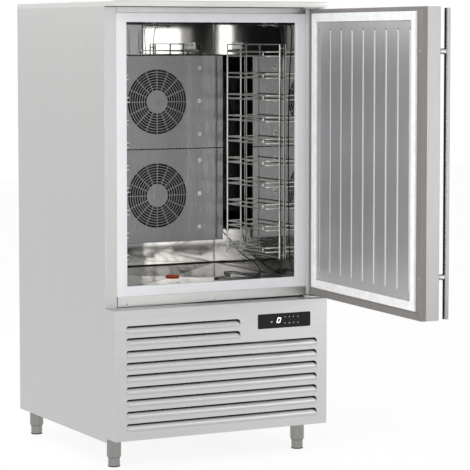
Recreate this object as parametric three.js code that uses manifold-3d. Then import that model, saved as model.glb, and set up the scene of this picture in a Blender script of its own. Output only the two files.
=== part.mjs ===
// Upright blast chiller with ten tray levels, shown with its door open.
// Millimetres, +Z up, +Y towards the back. Pieces are drawn in the cabinet's own frame, where
// x = 0 is the middle of the cabinet, y = 0 is the carcass face that the door closes on, and
// z = 0 is the floor. The whole object is then moved so that its origin is the middle of its base.

import * as THREE from 'three';
import { mergeVertices } from 'three/addons/utils/BufferGeometryUtils.js';
import Module from 'manifold-3d';

const wasm = await Module();
wasm.setup();

// ---------------------------------------------------------------- driving dimensions

const halfWidth = 400;
const cabinetHeight = 1550;
const backY = 755;
const frontY = -75;
const sheet = 2;
const gap = 0.3;

const capBottom = 1531;
const sidePanelBottom = 91;
const trayBottom = 104;
const trayTop = 107;
const lowerBoxTop = 538;
const machineRoomTop = 545;

const frameDepth = 12;
const openingHalfWidth = 319;
const openingBottom = 607;
const openingTop = 1479.5;
const breakerHalfWidth = 356;
const breakerBottom = 573;
const breakerTop = 1510;

const linerSheet = 1.5;
const chamberHalfWidth = 322;
const chamberBackY = 627;
const chamberCeiling = 1486;
const chamberFloor = 600;
const floorUnderside = 586;
const drain = { x: 0, y: 316, z: 592, holeRadius: 26 };

const door = { bottom: 546, top: 1525, skinInnerY: -28, faceY: -10, openDegrees: 86.3 };
const hinge = { x: 384.5, y: -35.5, pinRadius: 5, boreRadius: 6 };
const gasket = { halfWidth: 367, bottom: 575, top: 1511, strip: 26, sillStrip: 3, contactY: -1.4 };
const doorRibs = { count: 9, pitch: 80, width: 11, height: 3, bottom: 632, top: 1454 };
const handle = { x: -388, width: 16.5, thickness: 15, finger: 22, postRadius: 9.5, postZ: [681, 1386] };

const louvres = {
  tops: [161, 202, 242, 283, 324, 364, 404, 445, 485],
  shortRows: 2,
  left: -357,
  right: 360,
  shortRight: 64,
  height: 27,
  depth: 12,
};
const controls = { left: 131, right: 334, bottom: 445, top: 495, proud: 1.5, cornerRadius: 4 };

const cover = { y: 437, halfWidth: 262, bottom: 703, seam: 1034.5, top: 1366, flange: 20 };
const fan = { z: [870, 1202], grilleRadius: 114.5, hubRadius: 42, bladeRadius: 102 };
const coil = { frontY: 520, backY: 612, halfWidth: 240, bottom: 790, top: 1300, fins: 20 };

const rack = {
  levels: 10,
  firstLevel: 691.5,
  pitch: 75.6,
  pairOffset: 7.5,
  wire: 5,
  outerX: 311,
  innerX: 257,
  frontY: 103,
  rearY: 393,
  bottom: 659,
  top: 1405,
  rail: 4,
  linkSetback: 21,
  mountInset: 13,
  stripWidth: 20,
  stripThick: 1.5,
};

const leg = { x: 350, frontY: 45, rearY: 730, radius: 24.35, footRadius: 21, sleeveBottom: 32 };
const cableRadius = 2;
const cableLift = 0.8;
const probe = { x: 299, z: 1472, handleFront: 104, handleBack: 140, tip: 238 };

// ---------------------------------------------------------------- geometry helpers

function block(x0, x1, y0, y1, z0, z1) {
  const geometry = new THREE.BoxGeometry(x1 - x0, y1 - y0, z1 - z0);
  geometry.translate((x0 + x1) / 2, (y0 + y1) / 2, (z0 + z1) / 2);
  return geometry;
}

function toManifold(geometry) {
  const bare = geometry.clone();
  bare.deleteAttribute('normal');
  bare.deleteAttribute('uv');
  const merged = mergeVertices(bare, 1e-4);
  const mesh = new wasm.Mesh({
    numProp: 3,
    vertProperties: new Float32Array(merged.attributes.position.array),
    triVerts: new Uint32Array(merged.index.array),
  });
  return new wasm.Manifold(mesh);
}

function toGeometry(manifold) {
  const mesh = manifold.getMesh();
  const geometry = new THREE.BufferGeometry();
  geometry.setAttribute('position', new THREE.BufferAttribute(mesh.vertProperties, 3));
  geometry.setIndex(new THREE.BufferAttribute(mesh.triVerts, 1));
  geometry.computeVertexNormals();
  return geometry;
}

function join(...geometries) {
  return toGeometry(geometries.map(toManifold).reduce((whole, next) => whole.add(next)));
}

function cut(base, ...tools) {
  return toGeometry(tools.map(toManifold).reduce((rest, tool) => rest.subtract(tool), toManifold(base)));
}

// A rectangular frame lying in an XZ plane, open in the middle.
function rectangularFrame(outerX, outerBottom, outerTop, innerX, innerBottom, innerTop, y0, y1) {
  return cut(
    block(-outerX, outerX, y0, y1, outerBottom, outerTop),
    block(-innerX, innerX, y0 - 1, y1 + 1, innerBottom, innerTop),
  );
}

function outline(points) {
  return new THREE.Shape(points.map(([a, b]) => new THREE.Vector2(a, b)));
}

// Extrudes a shape whose axes are X and Z along Y, from y0 to y1.
function extrudeAlongY(shape, y0, y1, curveSegments = 4) {
  const geometry = new THREE.ExtrudeGeometry(shape, { depth: y1 - y0, bevelEnabled: false, curveSegments });
  geometry.rotateX(Math.PI / 2);
  geometry.translate(0, y1, 0);
  return geometry;
}

// Extrudes a shape whose axes are Y and Z along X, from x0 to x1.
function extrudeAlongX(shape, x0, x1) {
  const geometry = new THREE.ExtrudeGeometry(shape, { depth: x1 - x0, bevelEnabled: false });
  const xAxis = new THREE.Vector3(1, 0, 0);
  const yAxis = new THREE.Vector3(0, 1, 0);
  const zAxis = new THREE.Vector3(0, 0, 1);
  geometry.applyMatrix4(new THREE.Matrix4().makeBasis(yAxis, zAxis, xAxis));
  geometry.translate(x0, 0, 0);
  return geometry;
}

// Extrudes a shape whose axes are X and Y along Z, from z0 to z1.
function extrudeAlongZ(shape, z0, z1, curveSegments = 4) {
  const geometry = new THREE.ExtrudeGeometry(shape, { depth: z1 - z0, bevelEnabled: false, curveSegments });
  geometry.translate(0, 0, z0);
  return geometry;
}

// A turned piece on a vertical axis. The profile is a list of [radius, z] that starts and ends on
// the axis, or that closes on itself when the piece has a bore.
function turned(profile, segments = 24) {
  const geometry = new THREE.LatheGeometry(profile.map(([r, z]) => new THREE.Vector2(r, z)), segments);
  geometry.rotateX(Math.PI / 2);
  return geometry;
}

function rod(radius, z0, z1, segments = 24) {
  return turned([[0, z0], [radius, z0], [radius, z1], [0, z1]], segments);
}

function rodAlongY(radius, y0, y1, segments = 24) {
  return rod(radius, -y1, -y0, segments).rotateX(Math.PI / 2);
}

// A tube of constant radius along a smooth curve through the points.
function tube(points, radius, steps, sides) {
  const curve = new THREE.CatmullRomCurve3(points.map((p) => new THREE.Vector3(...p)), false, 'centripetal');
  const section = new THREE.Shape();
  for (let side = 0; side < sides; side += 1) {
    const angle = (2 * Math.PI * side) / sides;
    const [a, b] = [radius * Math.cos(angle), radius * Math.sin(angle)];
    if (side === 0) section.moveTo(a, b);
    else section.lineTo(a, b);
  }
  return new THREE.ExtrudeGeometry(section, { steps, extrudePath: curve, bevelEnabled: false });
}

// ---------------------------------------------------------------- materials

function finish(color, roughness, metalness) {
  return new THREE.MeshStandardMaterial({ color, roughness, metalness });
}

const satinSteel = finish(0xd0d0cf, 0.38, 0.9);
const brightSteel = finish(0xc4c3bf, 0.12, 1.0);
const coverSteel = finish(0x7d7d7d, 0.45, 0.8);
const doorLinerSteel = finish(0x969696, 0.5, 0.7);
const greyPlastic = finish(0xdcdcde, 0.5, 0.0);
const doorFramePlastic = finish(0x9c9c99, 0.5, 0.1);
const paleRubber = finish(0xe2e2e2, 0.7, 0.0);
const foamYellow = finish(0xe8dcae, 0.95, 0.0);
const blackGlass = finish(0x17191a, 0.15, 0.0);
const blackPlastic = finish(0x1e1e1f, 0.5, 0.0);
const blackEnamel = finish(0x141414, 0.4, 0.1);
const finAluminium = finish(0x8e9192, 0.5, 0.8);
const galvanised = finish(0xa8adb0, 0.5, 0.8);
const copper = finish(0xb87348, 0.3, 1.0);
const redRubber = finish(0xc9502e, 0.6, 0.0);
const cableBlack = finish(0x151515, 0.6, 0.0);

// ---------------------------------------------------------------- assembly

const chiller = new THREE.Group();
const cabinet = new THREE.Group();
const doorGroup = new THREE.Group();

function add(name, geometry, material, parent = cabinet) {
  const mesh = new THREE.Mesh(geometry, material);
  mesh.name = name;
  parent.add(mesh);
  return mesh;
}

// ---------------------------------------------------------------- outer shell

function buildShell() {
  const inner = halfWidth - sheet;
  add('left_side_panel', block(-halfWidth, -inner, 0, backY, sidePanelBottom, capBottom), satinSteel);
  add('right_side_panel', block(inner, halfWidth, 0, backY, sidePanelBottom, capBottom), satinSteel);

  const capPocket = block(-inner, inner, 0, backY - sheet, capBottom - 1, cabinetHeight - sheet);
  add('top_cap', cut(block(-halfWidth, halfWidth, frontY, backY, capBottom, cabinetHeight), capPocket), satinSteel);

  const ventSlots = [];
  for (let row = 0; row < 9; row += 1) {
    const z = 180 + row * 32;
    ventSlots.push(block(-240, 240, backY - 10, backY + 10, z, z + 8));
  }
  const back = block(-inner, inner, backY - sheet, backY, trayBottom, capBottom);
  add('back_panel', cut(back, ...ventSlots), galvanised);

  add('base_tray', block(-inner, inner, 0, backY - sheet, trayBottom, trayTop), galvanised);
}

function buildFrontFrame() {
  add(
    'front_frame',
    rectangularFrame(
      halfWidth - sheet, lowerBoxTop - 3, capBottom,
      breakerHalfWidth, breakerBottom, breakerTop,
      0, frameDepth,
    ),
    satinSteel,
  );
  add(
    'breaker_frame',
    rectangularFrame(
      breakerHalfWidth, breakerBottom, breakerTop,
      openingHalfWidth, openingBottom, openingTop,
      -1, frameDepth,
    ),
    greyPlastic,
  );
}

function buildLouvrePanel() {
  const shell = cut(
    block(-halfWidth, halfWidth, frontY, 0, trayBottom, lowerBoxTop),
    block(-halfWidth + sheet, halfWidth - sheet, frontY + sheet, 1, trayBottom + sheet, lowerBoxTop - sheet),
  );
  const windows = [];
  const blades = [];
  louvres.tops.forEach((top, row) => {
    const short = row >= louvres.tops.length - louvres.shortRows;
    const right = short ? louvres.shortRight : louvres.right;
    const bottom = top - louvres.height;
    windows.push(block(louvres.left, right, frontY - 1, frontY + sheet + 1, bottom, top));
    const profile = outline([
      [frontY, bottom - 1],
      [frontY + sheet, bottom - 1],
      [frontY + sheet + louvres.depth, top - 4],
      [frontY + louvres.depth, top - 3],
      [frontY, bottom + 1],
    ]);
    blades.push(extrudeAlongX(profile, louvres.left, right));
  });
  const wiring = block(controls.left + 12, controls.right - 12, frontY - 1, frontY + 5, 452, 488);
  add('louvre_panel', cut(join(cut(shell, ...windows), ...blades), wiring), satinSteel);
}

// ---------------------------------------------------------------- insulation and chamber

function buildInsulation() {
  const shellX = halfWidth - sheet;
  const linerX = chamberHalfWidth + linerSheet;
  const linerBack = chamberBackY + linerSheet;
  const foamBack = backY - sheet;
  const foamTop = cabinetHeight - sheet;
  add('foam_left', block(-shellX, -linerX, frameDepth, foamBack, machineRoomTop, foamTop), foamYellow);
  add('foam_right', block(linerX, shellX, frameDepth, foamBack, machineRoomTop, foamTop), foamYellow);
  add('foam_back', block(-linerX, linerX, linerBack, foamBack, machineRoomTop, foamTop), foamYellow);
  const ceilingTop = chamberCeiling + linerSheet;
  add('foam_top', block(-linerX, linerX, frameDepth, linerBack, ceilingTop, foamTop), foamYellow);
  const drainHole = rod(drain.holeRadius, machineRoomTop - 5, floorUnderside + 5);
  drainHole.translate(drain.x, drain.y, 0);
  const underFloor = block(-linerX, linerX, frameDepth, linerBack, machineRoomTop, floorUnderside);
  add('foam_bottom', cut(underFloor, drainHole), foamYellow);
}

// The floor falls from its four edges to the drain, so it has a crease to each corner.
function chamberFloorSolid() {
  const [x, y0, y1] = [chamberHalfWidth, frameDepth, chamberBackY];
  const slab = block(-x, x, y0, y1, floorUnderside, chamberFloor);
  const corners = [[-x, y0], [x, y0], [x, y1], [-x, y1]];
  const lift = 4;
  const spread = 1 + lift / (chamberFloor - drain.z);
  const positions = [drain.x, drain.y, drain.z];
  corners.forEach(([cx, cy]) => {
    positions.push(drain.x + (cx - drain.x) * spread, drain.y + (cy - drain.y) * spread, chamberFloor + lift);
  });
  const pyramid = new THREE.BufferGeometry();
  pyramid.setAttribute('position', new THREE.Float32BufferAttribute(positions, 3));
  pyramid.setIndex([0, 2, 1, 0, 3, 2, 0, 4, 3, 0, 1, 4, 1, 2, 3, 1, 3, 4]);
  const hole = rod(drain.holeRadius, floorUnderside - 5, chamberFloor + 5);
  hole.translate(drain.x, drain.y, 0);
  return cut(slab, pyramid, hole);
}

function buildChamber() {
  const inner = chamberHalfWidth;
  const outer = chamberHalfWidth + linerSheet;
  const backOuter = chamberBackY + linerSheet;
  const ceilingTop = chamberCeiling + linerSheet;
  const wallBottom = floorUnderside;
  const leftWall = block(-outer, -inner, frameDepth, backOuter, wallBottom, ceilingTop);
  add('chamber_left_wall', leftWall, brightSteel);
  add('chamber_right_wall', block(inner, outer, frameDepth, backOuter, wallBottom, ceilingTop), brightSteel);
  add('chamber_back_wall', block(-inner, inner, chamberBackY, backOuter, wallBottom, ceilingTop), brightSteel);
  add('chamber_ceiling', block(-inner, inner, frameDepth, chamberBackY, chamberCeiling, ceilingTop), brightSteel);
  add('chamber_floor', chamberFloorSolid(), brightSteel);
}

function buildDrain() {
  const outer = drain.holeRadius - 0.5;
  const bore = 20;
  const flange = 40;
  const fitting = turned([
    [bore, 512], [outer, 512], [outer, machineRoomTop - 4], [flange, machineRoomTop - 4],
    [flange, machineRoomTop], [outer, machineRoomTop], [outer, drain.z + 0.5], [bore, drain.z + 0.5], [bore, 512],
  ], 32);
  add('drain_fitting', fitting.translate(drain.x, drain.y, 0), blackPlastic);

  const seat = drain.z + 0.5 + gap;
  const plug = turned([
    [0, 568], [17, 568], [19.2, seat], [24, seat], [24, seat + 5], [22, seat + 8], [0, seat + 8],
  ], 32);
  add('drain_plug', plug.translate(drain.x, drain.y, 0), redRubber);
}

// ---------------------------------------------------------------- evaporator

// Rings of curved slots round a closed centre, as cutting tools that pass through the cover's sheet.
function grilleSlots(centreZ) {
  const rings = 4;
  const sectors = 8;
  const bridge = 6;
  const ringPitch = (fan.grilleRadius - fan.hubRadius + bridge) / rings;
  const slots = [];
  for (let ring = 0; ring < rings; ring += 1) {
    const inner = fan.hubRadius + ring * ringPitch;
    const outer = inner + ringPitch - bridge;
    const innerSpan = Math.PI / sectors - bridge / 2 / inner;
    const outerSpan = Math.PI / sectors - bridge / 2 / outer;
    for (let sector = 0; sector < sectors; sector += 1) {
      const middle = ((sector + 0.5) * 2 * Math.PI) / sectors;
      const slot = new THREE.Shape();
      slot.absarc(0, centreZ, inner, middle - innerSpan, middle + innerSpan, false);
      slot.absarc(0, centreZ, outer, middle + outerSpan, middle - outerSpan, true);
      slots.push(extrudeAlongY(slot, cover.y - 3, cover.y + 6, 2));
    }
  }
  return slots;
}

function evaporatorCover(bottom, top, fanZ, closesTop) {
  const { y, halfWidth: half, flange } = cover;
  const t = 1.5;
  const pan = cut(
    block(-half, half, y, y + flange, bottom, top),
    block(-half + t, half - t, y + t, y + flange + 1, closesTop ? bottom - 1 : bottom + t, closesTop ? top - t : top + 1),
  );
  return cut(pan, ...grilleSlots(fanZ));
}

function fanRotor(bladeRadius, hubRadius, depth, blades, chord) {
  const pieces = [rodAlongY(hubRadius, 0, depth, 20)];
  for (let blade = 0; blade < blades; blade += 1) {
    const length = bladeRadius - hubRadius + 6;
    const plate = new THREE.BoxGeometry(length, 2.5, chord);
    plate.rotateX(THREE.MathUtils.degToRad(32));
    plate.translate(hubRadius - 6 + length / 2, depth / 2, 0);
    plate.rotateY((2 * Math.PI * blade) / blades);
    pieces.push(plate);
  }
  return join(...pieces);
}

// A finned block seen from above: a solid core with a comb of teeth on its front side.
function finBlock(halfSpan, centreX, fins, frontEdge, coreFront, backEdge, z0, z1) {
  const pitch = (2 * halfSpan) / fins;
  const points = [[centreX - halfSpan, backEdge], [centreX + halfSpan, backEdge]];
  for (let index = fins - 1; index >= 0; index -= 1) {
    const left = centreX - halfSpan + index * pitch;
    const finEnd = left + pitch;
    const finStart = finEnd - pitch * 0.3;
    points.push([finEnd, frontEdge], [finStart, frontEdge], [finStart, coreFront]);
    points.push([left, coreFront]);
  }
  return extrudeAlongZ(outline(points), z0, z1);
}

function buildEvaporator() {
  const seamGap = 1;
  const lowerTop = cover.seam - seamGap / 2;
  const upperBottom = cover.seam + seamGap / 2;
  add('evaporator_cover_lower', evaporatorCover(cover.bottom, lowerTop, fan.z[0], false), coverSteel);
  add('evaporator_cover_upper', evaporatorCover(upperBottom, cover.top, fan.z[1], true), coverSteel);

  const plateOuter = cover.halfWidth - 1.5;
  const plateInner = plateOuter - 2;
  const [plateFront, plateTop] = [cover.y + 3, coil.top + 2];
  add('evaporator_housing', join(
    block(-plateOuter, -plateInner, plateFront, chamberBackY, coil.bottom, plateTop),
    block(plateInner, plateOuter, plateFront, chamberBackY, coil.bottom, plateTop),
    block(-plateOuter, plateOuter, coil.frontY, chamberBackY, coil.top, plateTop),
  ), blackEnamel);
  const fins = finBlock(coil.halfWidth, 0, coil.fins, coil.frontY, coil.frontY + 40, coil.backY, 800, 1290);
  const headers = [830, 1030, 1260].map((z) => block(-plateInner, plateInner, 575, 595, z, z + 12));
  add('evaporator_coil', join(fins, ...headers), finAluminium);

  const motorRail = block(-12, 12, coil.frontY - 2.5, coil.frontY, fan.z[0], fan.z[1]);
  const motors = [motorRail];
  [['lower', fan.z[0]], ['upper', fan.z[1]]].forEach(([place, z]) => {
    const rotor = fanRotor(fan.bladeRadius, 36, 26, 7, 46);
    add(`${place}_evaporator_fan`, rotor.translate(0, 450, z), blackPlastic);
    motors.push(rodAlongY(34, 477, coil.frontY - 6, 20).translate(0, 0, z));
    motors.push(block(-60, 60, coil.frontY - 10, coil.frontY, z - 20, z + 20));
  });
  add('evaporator_fan_motors', join(...motors), blackEnamel);
}

// ---------------------------------------------------------------- tray racks

function rackSolid(side) {
  const half = rack.wire / 2;
  const postHalf = half + 0.5;
  const railHalf = rack.rail / 2;
  const { outerX, innerX, frontY: front, rearY: rear } = rack;
  const plan = outline([
    [outerX, front - half], [outerX, front + half], [innerX + half, front + half],
    [innerX + half, rear - half], [outerX, rear - half], [outerX, rear + half],
    [innerX - half, rear + half], [innerX - half, front - half],
  ]);
  const pieces = [];
  const linkY = front + rack.linkSetback;
  for (let level = 0; level < rack.levels; level += 1) {
    const centre = rack.firstLevel + level * rack.pitch;
    [-rack.pairOffset, rack.pairOffset].forEach((offset) => {
      pieces.push(extrudeAlongZ(plan, centre + offset - half, centre + offset + half));
    });
    pieces.push(block(
      innerX - half, innerX + half, linkY - half, linkY + half,
      centre - rack.pairOffset, centre + rack.pairOffset,
    ));
  }
  const uprights = [[outerX, front], [outerX, rear], [innerX, rear]];
  uprights.forEach(([x, y]) => {
    pieces.push(block(x - postHalf, x + postHalf, y - postHalf, y + postHalf, rack.bottom, rack.top));
  });
  [rack.bottom + rack.rail, rack.top].forEach((z) => {
    pieces.push(block(outerX - railHalf, outerX + railHalf, front, rear, z - railHalf, z + railHalf));
  });
  pieces.push(block(innerX, outerX, rear - railHalf, rear + railHalf, rack.top - railHalf, rack.top + railHalf));
  [front, rear].forEach((y) => {
    [rack.bottom + rack.mountInset, rack.top - rack.mountInset].forEach((z) => {
      pieces.push(block(outerX, chamberHalfWidth, y - railHalf, y + railHalf, z - half, z + half));
    });
    pieces.push(block(
      chamberHalfWidth - rack.stripThick, chamberHalfWidth,
      y - rack.stripWidth / 2, y + rack.stripWidth / 2, rack.bottom, rack.top,
    ));
  });
  const solid = join(...pieces);
  if (side > 0) return solid;
  return toGeometry(toManifold(solid).mirror([1, 0, 0]));
}

// ---------------------------------------------------------------- food probe and its cable

function floorHeight(x, y) {
  const alongX = Math.abs(x - drain.x) / chamberHalfWidth;
  const depth = y < drain.y ? drain.y - frameDepth : chamberBackY - drain.y;
  const alongY = Math.abs(y - drain.y) / depth;
  return drain.z + (chamberFloor - drain.z) * Math.max(alongX, alongY);
}

function lying(x, y) {
  return [x, y, floorHeight(x, y) + cableRadius + cableLift];
}

const cableRoute = [
  [311.7, 520, 738], [300, 520, 738], [288, 509, 735], [284, 482, 727], [291, 445, 704], [299, 412, 679],
  [302, 372, 656], [305, 325, 642], [307, 278, 630], [303, 236, 614], lying(290, 208), lying(268, 196),
  lying(248, 208), lying(239, 240), lying(236, 284), lying(226, 306), lying(204, 308), lying(192, 290),
  lying(186, 250), lying(172, 210), lying(138, 190), lying(102, 176), lying(84, 152), lying(100, 128),
  lying(216, 116), lying(230, 99), lying(216, 82), lying(84, 68), lying(69, 50),
  lying(84, 32), lying(190, 28), lying(262, 33), [291, 50, 606.5], [302, 74, 640], [305, 86, 800],
  [305, 86, 1250], [303, 72, 1425], [300, 77, 1458], [299, 92, 1472], [299, probe.handleFront - gap, probe.z],
];

function buildProbe() {
  add('probe_cable', tube(cableRoute, cableRadius, 80, 8), cableBlack);

  const gland = turned([[0, 0], [14, 0], [14, 3], [9, 3], [7, 10], [0, 10]], 20);
  gland.rotateY(-Math.PI / 2);
  gland.translate(chamberHalfWidth, 520, 738);
  add('cable_gland', gland, blackPlastic);

  const needle = turned([
    [0, probe.handleFront], [4.5, probe.handleFront], [4.5, probe.handleBack - 3], [1.75, probe.handleBack],
    [1.75, probe.tip - 8], [0, probe.tip],
  ], 12);
  needle.rotateX(-Math.PI / 2);
  needle.translate(probe.x, 0, probe.z);
  add('food_probe', needle, brightSteel);

  const ringY = 192;
  const ring = rodAlongY(7, ringY - 1.5, ringY + 1.5, 16);
  const bore = rodAlongY(2.75, ringY - 3, ringY + 3, 12);
  const stem = block(-3, 3, ringY - 1.5, ringY + 1.5, 5, chamberCeiling - probe.z);
  const pad = block(-12, 12, ringY - 8, ringY + 8, chamberCeiling - probe.z - 1.5, chamberCeiling - probe.z);
  const clip = cut(join(ring, stem, pad), bore);
  add('probe_clip', clip.translate(probe.x, 0, probe.z), brightSteel);
}

// ---------------------------------------------------------------- machine compartment

function buildMachineRoom() {
  const coilBlock = finBlock(180, -160, 16, -52, -30, 0, 118, 478);
  add('condenser_coil', coilBlock, finAluminium);

  const shroud = cut(block(-344, 24, 0, 44, trayTop, 486), rodAlongY(150, -5, 38, 32).translate(-160, 0, 298),
    rodAlongY(142, 30, 50, 32).translate(-160, 0, 298));
  const strut = block(-344, 24, 38, 44, 286, 310);
  add('condenser_fan_shroud', join(shroud, strut), galvanised);
  add('condenser_fan', fanRotor(136, 34, 24, 5, 50).translate(-160, 8, 298), blackPlastic);
  add('condenser_fan_motor', rodAlongY(40, 44, 104, 24).translate(-160, 0, 298), blackEnamel);

  const dome = turned([
    [0, trayTop], [120, trayTop], [120, trayTop + 8], [104, trayTop + 12], [108, 150], [108, 330],
    [96, 356], [60, 376], [0, 384],
  ], 28);
  add('compressor', dome.translate(220, 360, 0), blackEnamel);

  const receiver = turned([
    [0, trayTop], [50, trayTop], [50, trayTop + 6], [42, trayTop + 12], [55, trayTop + 24], [55, 360],
    [40, 380], [0, 386],
  ], 24);
  add('liquid_receiver', receiver.translate(-240, 520, 0), blackEnamel);

  const pipe = [
    [220, 360, 384.3], [220, 356, 420], [190, 300, 440], [100, 160, 440], [50, 80, 420], [33, 24, 400],
    [30, -6, 392], [25, -20, 390], [20.4, -20, 390],
  ];
  add('discharge_pipe', tube(pipe, 5, 24, 8), copper);

  const box = block(controls.left + 8, controls.right - 8, frontY + sheet, frontY + 42, 447, 493);
  add('control_box', box, blackPlastic);
}

function buildControlPanel() {
  const { left, right, bottom, top, cornerRadius: r, proud } = controls;
  const shape = new THREE.Shape();
  shape.moveTo(left + r, bottom);
  shape.lineTo(right - r, bottom);
  shape.absarc(right - r, bottom + r, r, -Math.PI / 2, 0, false);
  shape.lineTo(right, top - r);
  shape.absarc(right - r, top - r, r, 0, Math.PI / 2, false);
  shape.lineTo(left + r, top);
  shape.absarc(left + r, top - r, r, Math.PI / 2, Math.PI, false);
  shape.lineTo(left, bottom + r);
  shape.absarc(left + r, bottom + r, r, Math.PI, 1.5 * Math.PI, false);
  add('control_panel', extrudeAlongY(shape, frontY - proud, frontY, 2), blackGlass);
}

// ---------------------------------------------------------------- legs and feet

function buildLegs() {
  const bore = 15;
  const boreTop = 94;
  const sleeve = [
    [0, boreTop], [bore, boreTop], [bore, leg.sleeveBottom], [leg.footRadius, leg.sleeveBottom],
    [leg.radius, leg.sleeveBottom + 6], [leg.radius, trayBottom], [0, trayBottom],
  ];
  const foot = [
    [0, 0], [leg.footRadius - 2, 0], [leg.footRadius, 3], [leg.footRadius, leg.sleeveBottom - gap],
    [bore - 0.5, leg.sleeveBottom - gap], [bore - 0.5, 88], [0, 88],
  ];
  const places = [
    ['front_left', -leg.x, leg.frontY], ['front_right', leg.x, leg.frontY],
    ['rear_left', -leg.x, leg.rearY - 8], ['rear_right', leg.x, leg.rearY - 8],
  ];
  places.forEach(([name, x, y]) => {
    add(`${name}_leg`, turned(sleeve, 24).translate(x, y, 0), brightSteel);
    add(`${name}_foot`, turned(foot, 24).translate(x, y, 0), brightSteel);
  });
}

// ---------------------------------------------------------------- hinges and door

function buildHinges() {
  const plateTop = lowerBoxTop + 5;
  const lower = join(
    extrudeAlongZ(outline([[340, -6], [340, -22], [372, -58], [397, -58], [397, -6]]), lowerBoxTop, plateTop),
    rod(hinge.pinRadius, lowerBoxTop + 2, 562, 16).translate(hinge.x, hinge.y, 0),
  );
  add('lower_hinge', lower, satinSteel);
  const upper = join(
    extrudeAlongZ(outline([[340, -6], [340, -22], [372, -58], [397, -58], [397, -6]]), capBottom - 4, capBottom),
    rod(hinge.pinRadius, 1508, capBottom - 2, 16).translate(hinge.x, hinge.y, 0),
  );
  add('upper_hinge', upper, satinSteel);
}

function addToDoor(name, geometry, material) {
  add(name, geometry.translate(-hinge.x, -hinge.y, 0), material, doorGroup);
}

function buildDoor() {
  const skin = 1.5;
  const inset = skin + gap;
  const [bottom, top] = [door.bottom, door.top];
  const pinBore = (z0, z1) => rod(hinge.boreRadius, z0, z1, 20).translate(hinge.x, hinge.y, 0);

  addToDoor('door_skin', cut(
    block(-halfWidth, halfWidth, frontY, door.skinInnerY, bottom, top),
    block(-halfWidth + skin, halfWidth - skin, frontY + skin, 0, bottom + skin, top - skin),
    pinBore(bottom - 5, bottom + 5),
    pinBore(top - 5, top + 5),
  ), satinSteel);

  const seatHalfWidth = gasket.halfWidth - gasket.strip;
  const seatBottom = gasket.bottom + gasket.strip + gasket.sillStrip;
  const seatTop = gasket.top - gasket.strip - gasket.sillStrip;
  addToDoor('door_edge_frame', rectangularFrame(
    halfWidth, bottom, top,
    seatHalfWidth, seatBottom, seatTop,
    door.skinInnerY + gap, door.faceY,
  ), doorFramePlastic);

  const linerX = seatHalfWidth - gap;
  const ribs = [];
  for (let rib = 0; rib < doorRibs.count; rib += 1) {
    const x = (rib - (doorRibs.count - 1) / 2) * doorRibs.pitch;
    const half = doorRibs.width / 2;
    const crest = half * 0.4;
    const profile = outline([
      [x - half, door.faceY - 0.5], [x + half, door.faceY - 0.5],
      [x + crest, door.faceY + doorRibs.height], [x - crest, door.faceY + doorRibs.height],
    ]);
    ribs.push(extrudeAlongZ(profile, doorRibs.bottom, doorRibs.top));
  }
  const linerSheetDepth = 1.75;
  addToDoor('door_liner', join(
    block(-linerX, linerX, door.faceY - linerSheetDepth, door.faceY, seatBottom + gap, seatTop - gap),
    ...ribs,
  ), doorLinerSteel);

  addToDoor('door_foam', cut(
    join(
      block(-halfWidth + inset, halfWidth - inset, frontY + inset, door.skinInnerY, bottom + inset, top - inset),
      block(-linerX, linerX, door.skinInnerY - 1, door.faceY - linerSheetDepth - gap, seatBottom + gap, seatTop - gap),
    ),
    pinBore(bottom, 564),
    pinBore(1506, top),
  ), foamYellow);

  addToDoor('door_gasket', rectangularFrame(
    gasket.halfWidth, gasket.bottom, gasket.top,
    seatHalfWidth, seatBottom, seatTop,
    door.faceY + gap, gasket.contactY,
  ), paleRubber);

  const barInner = frontY - handle.finger;
  const barOuter = barInner - handle.thickness;
  const [x0, x1] = [handle.x - handle.width / 2, handle.x + handle.width / 2];
  addToDoor('door_handle', block(x0, x1, barOuter, barInner, bottom + 2, top - 4), brightSteel);
  ['lower', 'upper'].forEach((place, index) => {
    const post = rodAlongY(handle.postRadius, barInner + gap, frontY - gap, 20);
    post.translate(handle.x + 1, 0, handle.postZ[index]);
    addToDoor(`${place}_handle_post`, post, satinSteel);
  });
}

// ---------------------------------------------------------------- put it together

buildShell();
buildFrontFrame();
buildLouvrePanel();
buildInsulation();
buildChamber();
buildDrain();
buildEvaporator();
add('left_rack', rackSolid(-1), brightSteel);
add('right_rack', rackSolid(1), brightSteel);
buildProbe();
buildMachineRoom();
buildControlPanel();
buildLegs();
buildHinges();
buildDoor();

const openAngle = THREE.MathUtils.degToRad(door.openDegrees);
doorGroup.position.set(hinge.x, hinge.y, 0);
doorGroup.rotation.z = openAngle;

// With the door open, its hinge corner reaches furthest to the right and its free edge furthest
// forward. The origin goes to the middle of the box that the object then fills.
const cornerX = halfWidth - hinge.x;
const cornerY = frontY - hinge.y;
const reachX = hinge.x + cornerX * Math.cos(openAngle) - cornerY * Math.sin(openAngle);
const reachY = hinge.y - (halfWidth + hinge.x) * Math.sin(openAngle) + cornerY * Math.cos(openAngle);
const roundToTenth = (value) => Math.round(value * 10) / 10;
chiller.position.set(roundToTenth((halfWidth - reachX) / 2), roundToTenth(-(reachY + backY) / 2), 0);

chiller.add(cabinet, doorGroup);
chiller.updateMatrixWorld(true);

export default chiller;
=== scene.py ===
"""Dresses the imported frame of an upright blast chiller, shown with its door open."""

import math

import bmesh
import bpy
from mathutils import Matrix, Vector


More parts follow.
